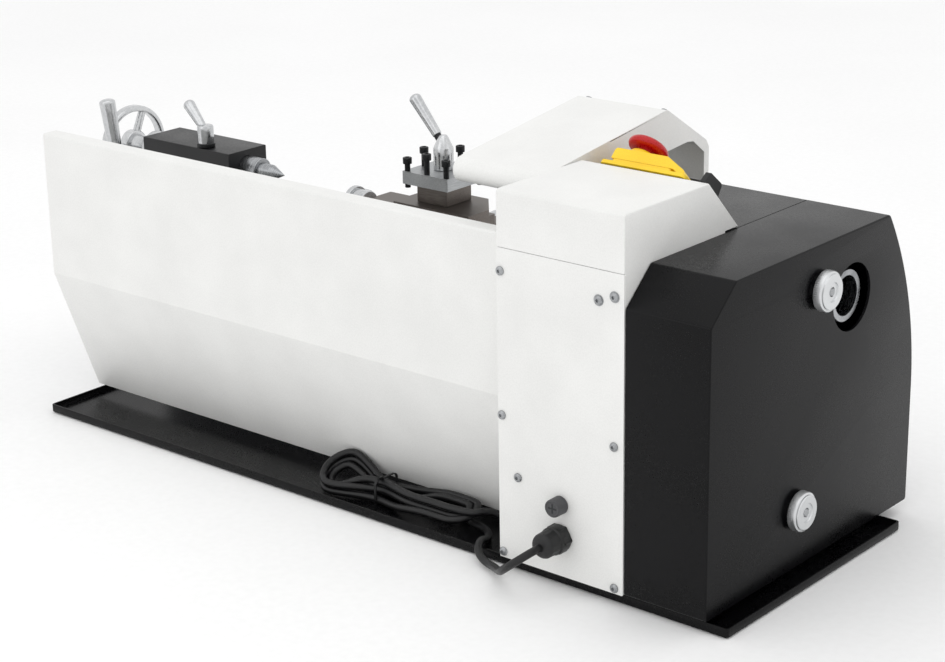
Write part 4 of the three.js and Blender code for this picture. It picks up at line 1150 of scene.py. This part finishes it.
def build_tool_post():
    x, y = 126, -154
    bore = circle(7.4, 40, (x, y))
    waist = rectangle(x - 21, x + 21, y - 21, y + 21, 1)
    head = rectangle(x - 32, x + 32, y - 32, y + 32, 1)
    post = piece("tool_post_head", [prism(head, "z", 251, 265, [bore])], ground_steel(), "tool_post",
                 "steel",
                 ("tool_post",), edge=0.9 * MM)
    # The waist gets the darker, warmer milled finish and the head the lighter ground one: partly the steel's
    # own finish, partly painted shade under the head's overhang.
    neck = piece("tool_post_waist", [prism(waist, "z", 230.4, 250.9, [bore])], milled_steel(), "tool_post",
                 "steel",
                 edge=0.5 * MM)
    neck.parent = post
    bolts = []
    for dx, dy, top in ((-27.3, 27.5, 285), (0, 27.5, 288), (28, 27.5, 280), (28, 0, 286), (-27.3, 0, 284),
                        (-27.3, -28, 283), (0, -28, 286), (28, -28, 282)):
        place = np.array((x + dx, y + dy, top - 7.0))
        tip = 246.5 if (dx > 20 and dy > 20) or (dx < -20 and dy < -20) else 253
        bolts.append(socket_head(place, Z, 5.0, 7, 0.8, 2.5, (3.1, top - 7 - tip)))
    screws = piece("tool_post_screws", bolts, black_oxide(), "tool_post", "steel")
    screws.parent = post
    hub = [(265.3, 7.5), (265.3, 10.2), (266, 10.8), (289.4, 10.8), (290.6, 10.2), (301.4, 5.4), (303, 4),
           (303.4, 0)]
    piece("tool_lever_chrome", [
        revolved([(271, 0), *hub[1:]], (x, y, 0), Z, 72),
        rod((134, y, 302), (168, y, 341.5), 5.3, 7.1, 0.1, 0.75, 48),
    ], bright_chrome(), "tool_lever", "bright_steel", ("tool_post_lever",), edge=0.2 * MM)
    piece("tool_lever_neck", [rod((x + 1, y, 293), (136, y, 304), 4.2, 4.2, 0.1, 0.1)],
          black_oxide(), "tool_lever", "steel")


# ---------- tailstock ----------
def build_tailstock():
    base = [(-126, 145.4), (-117.6, 145.4), (-110, 152.9), (-102.4, 145.4), (-41.6, 145.4), (-34, 152.9),
            (-26.4, 145.4), (-18, 145.4), (-18, 168), (-126, 168)]
    bore = circle(14.4, 56, (AXIS_Y, AXIS_Z))
    barrel = filleted([(-101, 222), (-43, 222), (-43, 271), (-101, 271)], 1.6, True)
    piece("tailstock_casting", [
        prism(base, "x", 352, 440), block(356, 470, -101, -43, 167.9, 222, 3),
        prism(barrel, "x", 345, 485, [bore]),
    ], enamelled_casting(), "tailstock", "black_iron", ("tailstock_body",), edge=0.8 * MM)
    tube = [(322, 9.4), (322, 13.3), (322.7, 14), (328, 14), (328.4, 13.7), (329, 13.7), (329.4, 14),
            (465, 14), (465, 0),
            (392, 0), (392, 9.4), (322, 9.4)]
    piece("quill_tube", [revolved(tube[:11] + [(322, 9.4)], (0, AXIS_Y, AXIS_Z), X, 64)], turned_steel(),
          "quill",
          "steel", ("quill",))
    cone = [(287.7, 0), (288.2, 0.5), (305.6, 8.4), (307, 9), (385, 9), (385, 0)]
    piece("centre_point", [revolved(cone, (0, AXIS_Y, AXIS_Z), X, 56)], turned_steel(), "quill", "steel",
          ("dead_centre",))
    hub = [(271.3, 0), (271.3, 8.8), (271.9, 9.2), (294, 9.2), (295.6, 8.4), (296, 6), (296, 0)]
    lever = piece("quill_clamp_chrome", [
        revolved(hub, (392, -54, 0), Z, 48), rod((392, -54, 289), (426, -60, 317), 4.2, 7.2, 0.1, 0.85, 40),
    ], bright_chrome(), "quill_clamp", "bright_steel", ("quill_clamp_lever",), edge=0.2 * MM)
    ring = piece("quill_clamp_base",
                 [revolved(bored_profile(271.4, 275.6, 8.8, 10.2, 0.5), (392, -54, 0), Z, 48)],
                 black_oxide(), "quill_clamp", "steel")
    ring.parent = lever
    dial = [(0, 0), (0, 19.4), (0.6, 20), (13.4, 20), (14, 19.4), (14, 0)]

    def dial_marks(along, radius, angle):
        return np.where((along > 0.7) & (along < 6) & (radius > 18),
                        radius - 0.3 * (np.cos(angle * 40) > 0.6), radius)

    seat = (486, AXIS_Y, AXIS_Z)
    shells = wheel_shells(seat, X, (0, -0.59, -0.807), 45, 7, 12, 16, 12, 44, 33)
    shells.append(revolved(dial, seat, X, 160, dial_marks))
    piece("tail_wheel_chrome", shells, bright_chrome(), "quill_wheel", "bright_steel",
          ("tailstock_handwheel",),
          edge=0.3 * MM)
    hub = [(-42.7, 0), (-42.7, 7.4), (-42.1, 8), (13.4, 8), (14, 7.4), (14, 0)]
    piece("tail_lock_chrome", [
        revolved(hub, (462, 0, 205), Y, 48), rod((462, 8, 205), (477, 8, 282), 4, 4, 0.1, 0.1, 32),
        rod((475, 8, 270), (484, 8, 325), 7.6, 9.2, 0.5, 0.45, 48),
    ], bright_chrome(), "tail_lock", "bright_steel", ("tailstock_lock_lever",), edge=0.2 * MM)


# ---------- pieces kept from the frame ----------
def dress_frame():
    """Finishes for the castings, gears, motor and belt that keep the frame's own shape."""
    for nodes, finish in (
        (("headstock_casting", "banjo", "leadscrew_bracket"), cast_iron),
        (("motor",), enamelled_casting),
        (("leadscrew", "spindle_pulley_gear", "motor_pulley"), turned_steel),
        (("front_spindle_bearing", "rear_spindle_bearing"), bright_chrome),
        (("idler_gear", "leadscrew_gear"), black_nylon), (("drive_belt",), belt_rubber),
    ):
        for node in nodes:
            obj = frame["nodes"][node]
            for slot in range(max(1, len(obj.material_slots))):
                if slot < len(obj.material_slots):
                    obj.material_slots[slot].material = finish()
                else:
                    obj.data.materials.append(finish())


# ---------- operators ----------
class LatheMaker:
    """Runs one maker function; a failure in it stops the operator."""

    bl_options = {"REGISTER", "UNDO"}

    def execute(self, context):
        for make in self.makers:
            make()
        return {"FINISHED"}


class LATHE_OT_stage(LatheMaker, bpy.types.Operator):
    """Adds the floor, the soft lights and the camera."""

    bl_idname, bl_label, makers = "lathe.stage", "Stage and camera", (build_stage, build_camera)


class LATHE_OT_cord(LatheMaker, bpy.types.Operator):
    """Lays the mains cord with its hank, tie, plug and gland."""

    bl_idname, bl_label, makers = "lathe.cord", "Mains cord", (build_cord,)


class LATHE_OT_bed(LatheMaker, bpy.types.Operator):
    """Builds the tray and the bed."""

    bl_idname, bl_label, makers = "lathe.bed", "Tray and bed", (build_tray, build_bed)


class LATHE_OT_covers(LatheMaker, bpy.types.Operator):
    """Builds the headstock's front cover and end cover with their knobs and nuts."""

    bl_idname, bl_label, makers = "lathe.covers", "Headstock covers", (build_headstock_covers,
            build_end_cover)


class LATHE_OT_box(LatheMaker, bpy.types.Operator):
    """Builds the electrics box, its panel, fuse, control plate and stop switch."""

    bl_idname, bl_label, makers = "lathe.box", "Electrics box", (build_box,)


class LATHE_OT_guards(LatheMaker, bpy.types.Operator):
    """Builds the splash guard and the chuck guard."""

    bl_idname, bl_label, makers = "lathe.guards", "Guards", (build_splash_guard, build_hood)


class LATHE_OT_spindle(LatheMaker, bpy.types.Operator):
    """Builds the spindle, the chuck and its jaws."""

    bl_idname, bl_label, makers = "lathe.spindle", "Spindle and chuck", (build_spindle,)


class LATHE_OT_carriage(LatheMaker, bpy.types.Operator):
    """Builds the saddle, apron, slides, handles and tool post."""

    bl_idname, bl_label = "lathe.carriage", "Carriage"
    makers = (build_carriage, build_top_slide, build_tool_post)


class LATHE_OT_tailstock(LatheMaker, bpy.types.Operator):
    """Builds the tailstock with its quill, wheel and levers."""

    bl_idname, bl_label, makers = "lathe.tailstock", "Tailstock", (build_tailstock,)


class LATHE_OT_dress(LatheMaker, bpy.types.Operator):
    """Gives the pieces kept from the frame their finishes."""

    bl_idname, bl_label, makers = "lathe.dress", "Finish the kept pieces", (dress_frame,)


OPERATORS = (
    LATHE_OT_stage, LATHE_OT_cord, LATHE_OT_bed, LATHE_OT_covers, LATHE_OT_box, LATHE_OT_guards,
    LATHE_OT_spindle,
    LATHE_OT_carriage, LATHE_OT_tailstock, LATHE_OT_dress,
)


class LATHE_PT_panel(bpy.types.Panel):
    """Lists the lathe's pieces in the sidebar."""

    bl_idname = "LATHE_PT_panel"
    bl_label = "Mini lathe"
    bl_space_type = "VIEW_3D"
    bl_region_type = "UI"
    bl_category = "Mini lathe"

    def draw(self, context):
        for group in (context.scene.lathe_sizes, context.scene.lathe_colours):
            for name in group.bl_rna.properties.keys():
                if name not in {"rna_type", "name"}:
                    self.layout.prop(group, name)
        for operator in OPERATORS:
            self.layout.operator(operator.bl_idname)


CLASSES = (LatheSizes, LatheColours, *OPERATORS, LATHE_PT_panel)


def register():
    for cls in CLASSES:
        bpy.utils.register_class(cls)
    bpy.types.Scene.lathe_sizes = bpy.props.PointerProperty(type=LatheSizes)
    bpy.types.Scene.lathe_colours = bpy.props.PointerProperty(type=LatheColours)


def unregister():
    del bpy.types.Scene.lathe_colours
    del bpy.types.Scene.lathe_sizes
    for cls in reversed(CLASSES):
        bpy.utils.unregister_class(cls)


def main():
    register()
    for operator in OPERATORS:
        group, name = operator.bl_idname.split(".")
        if getattr(getattr(bpy.ops, group), name)() != {"FINISHED"}:
            raise RuntimeError(f"{operator.bl_label} didn't finish")


if __name__ == "__main__":
    main()
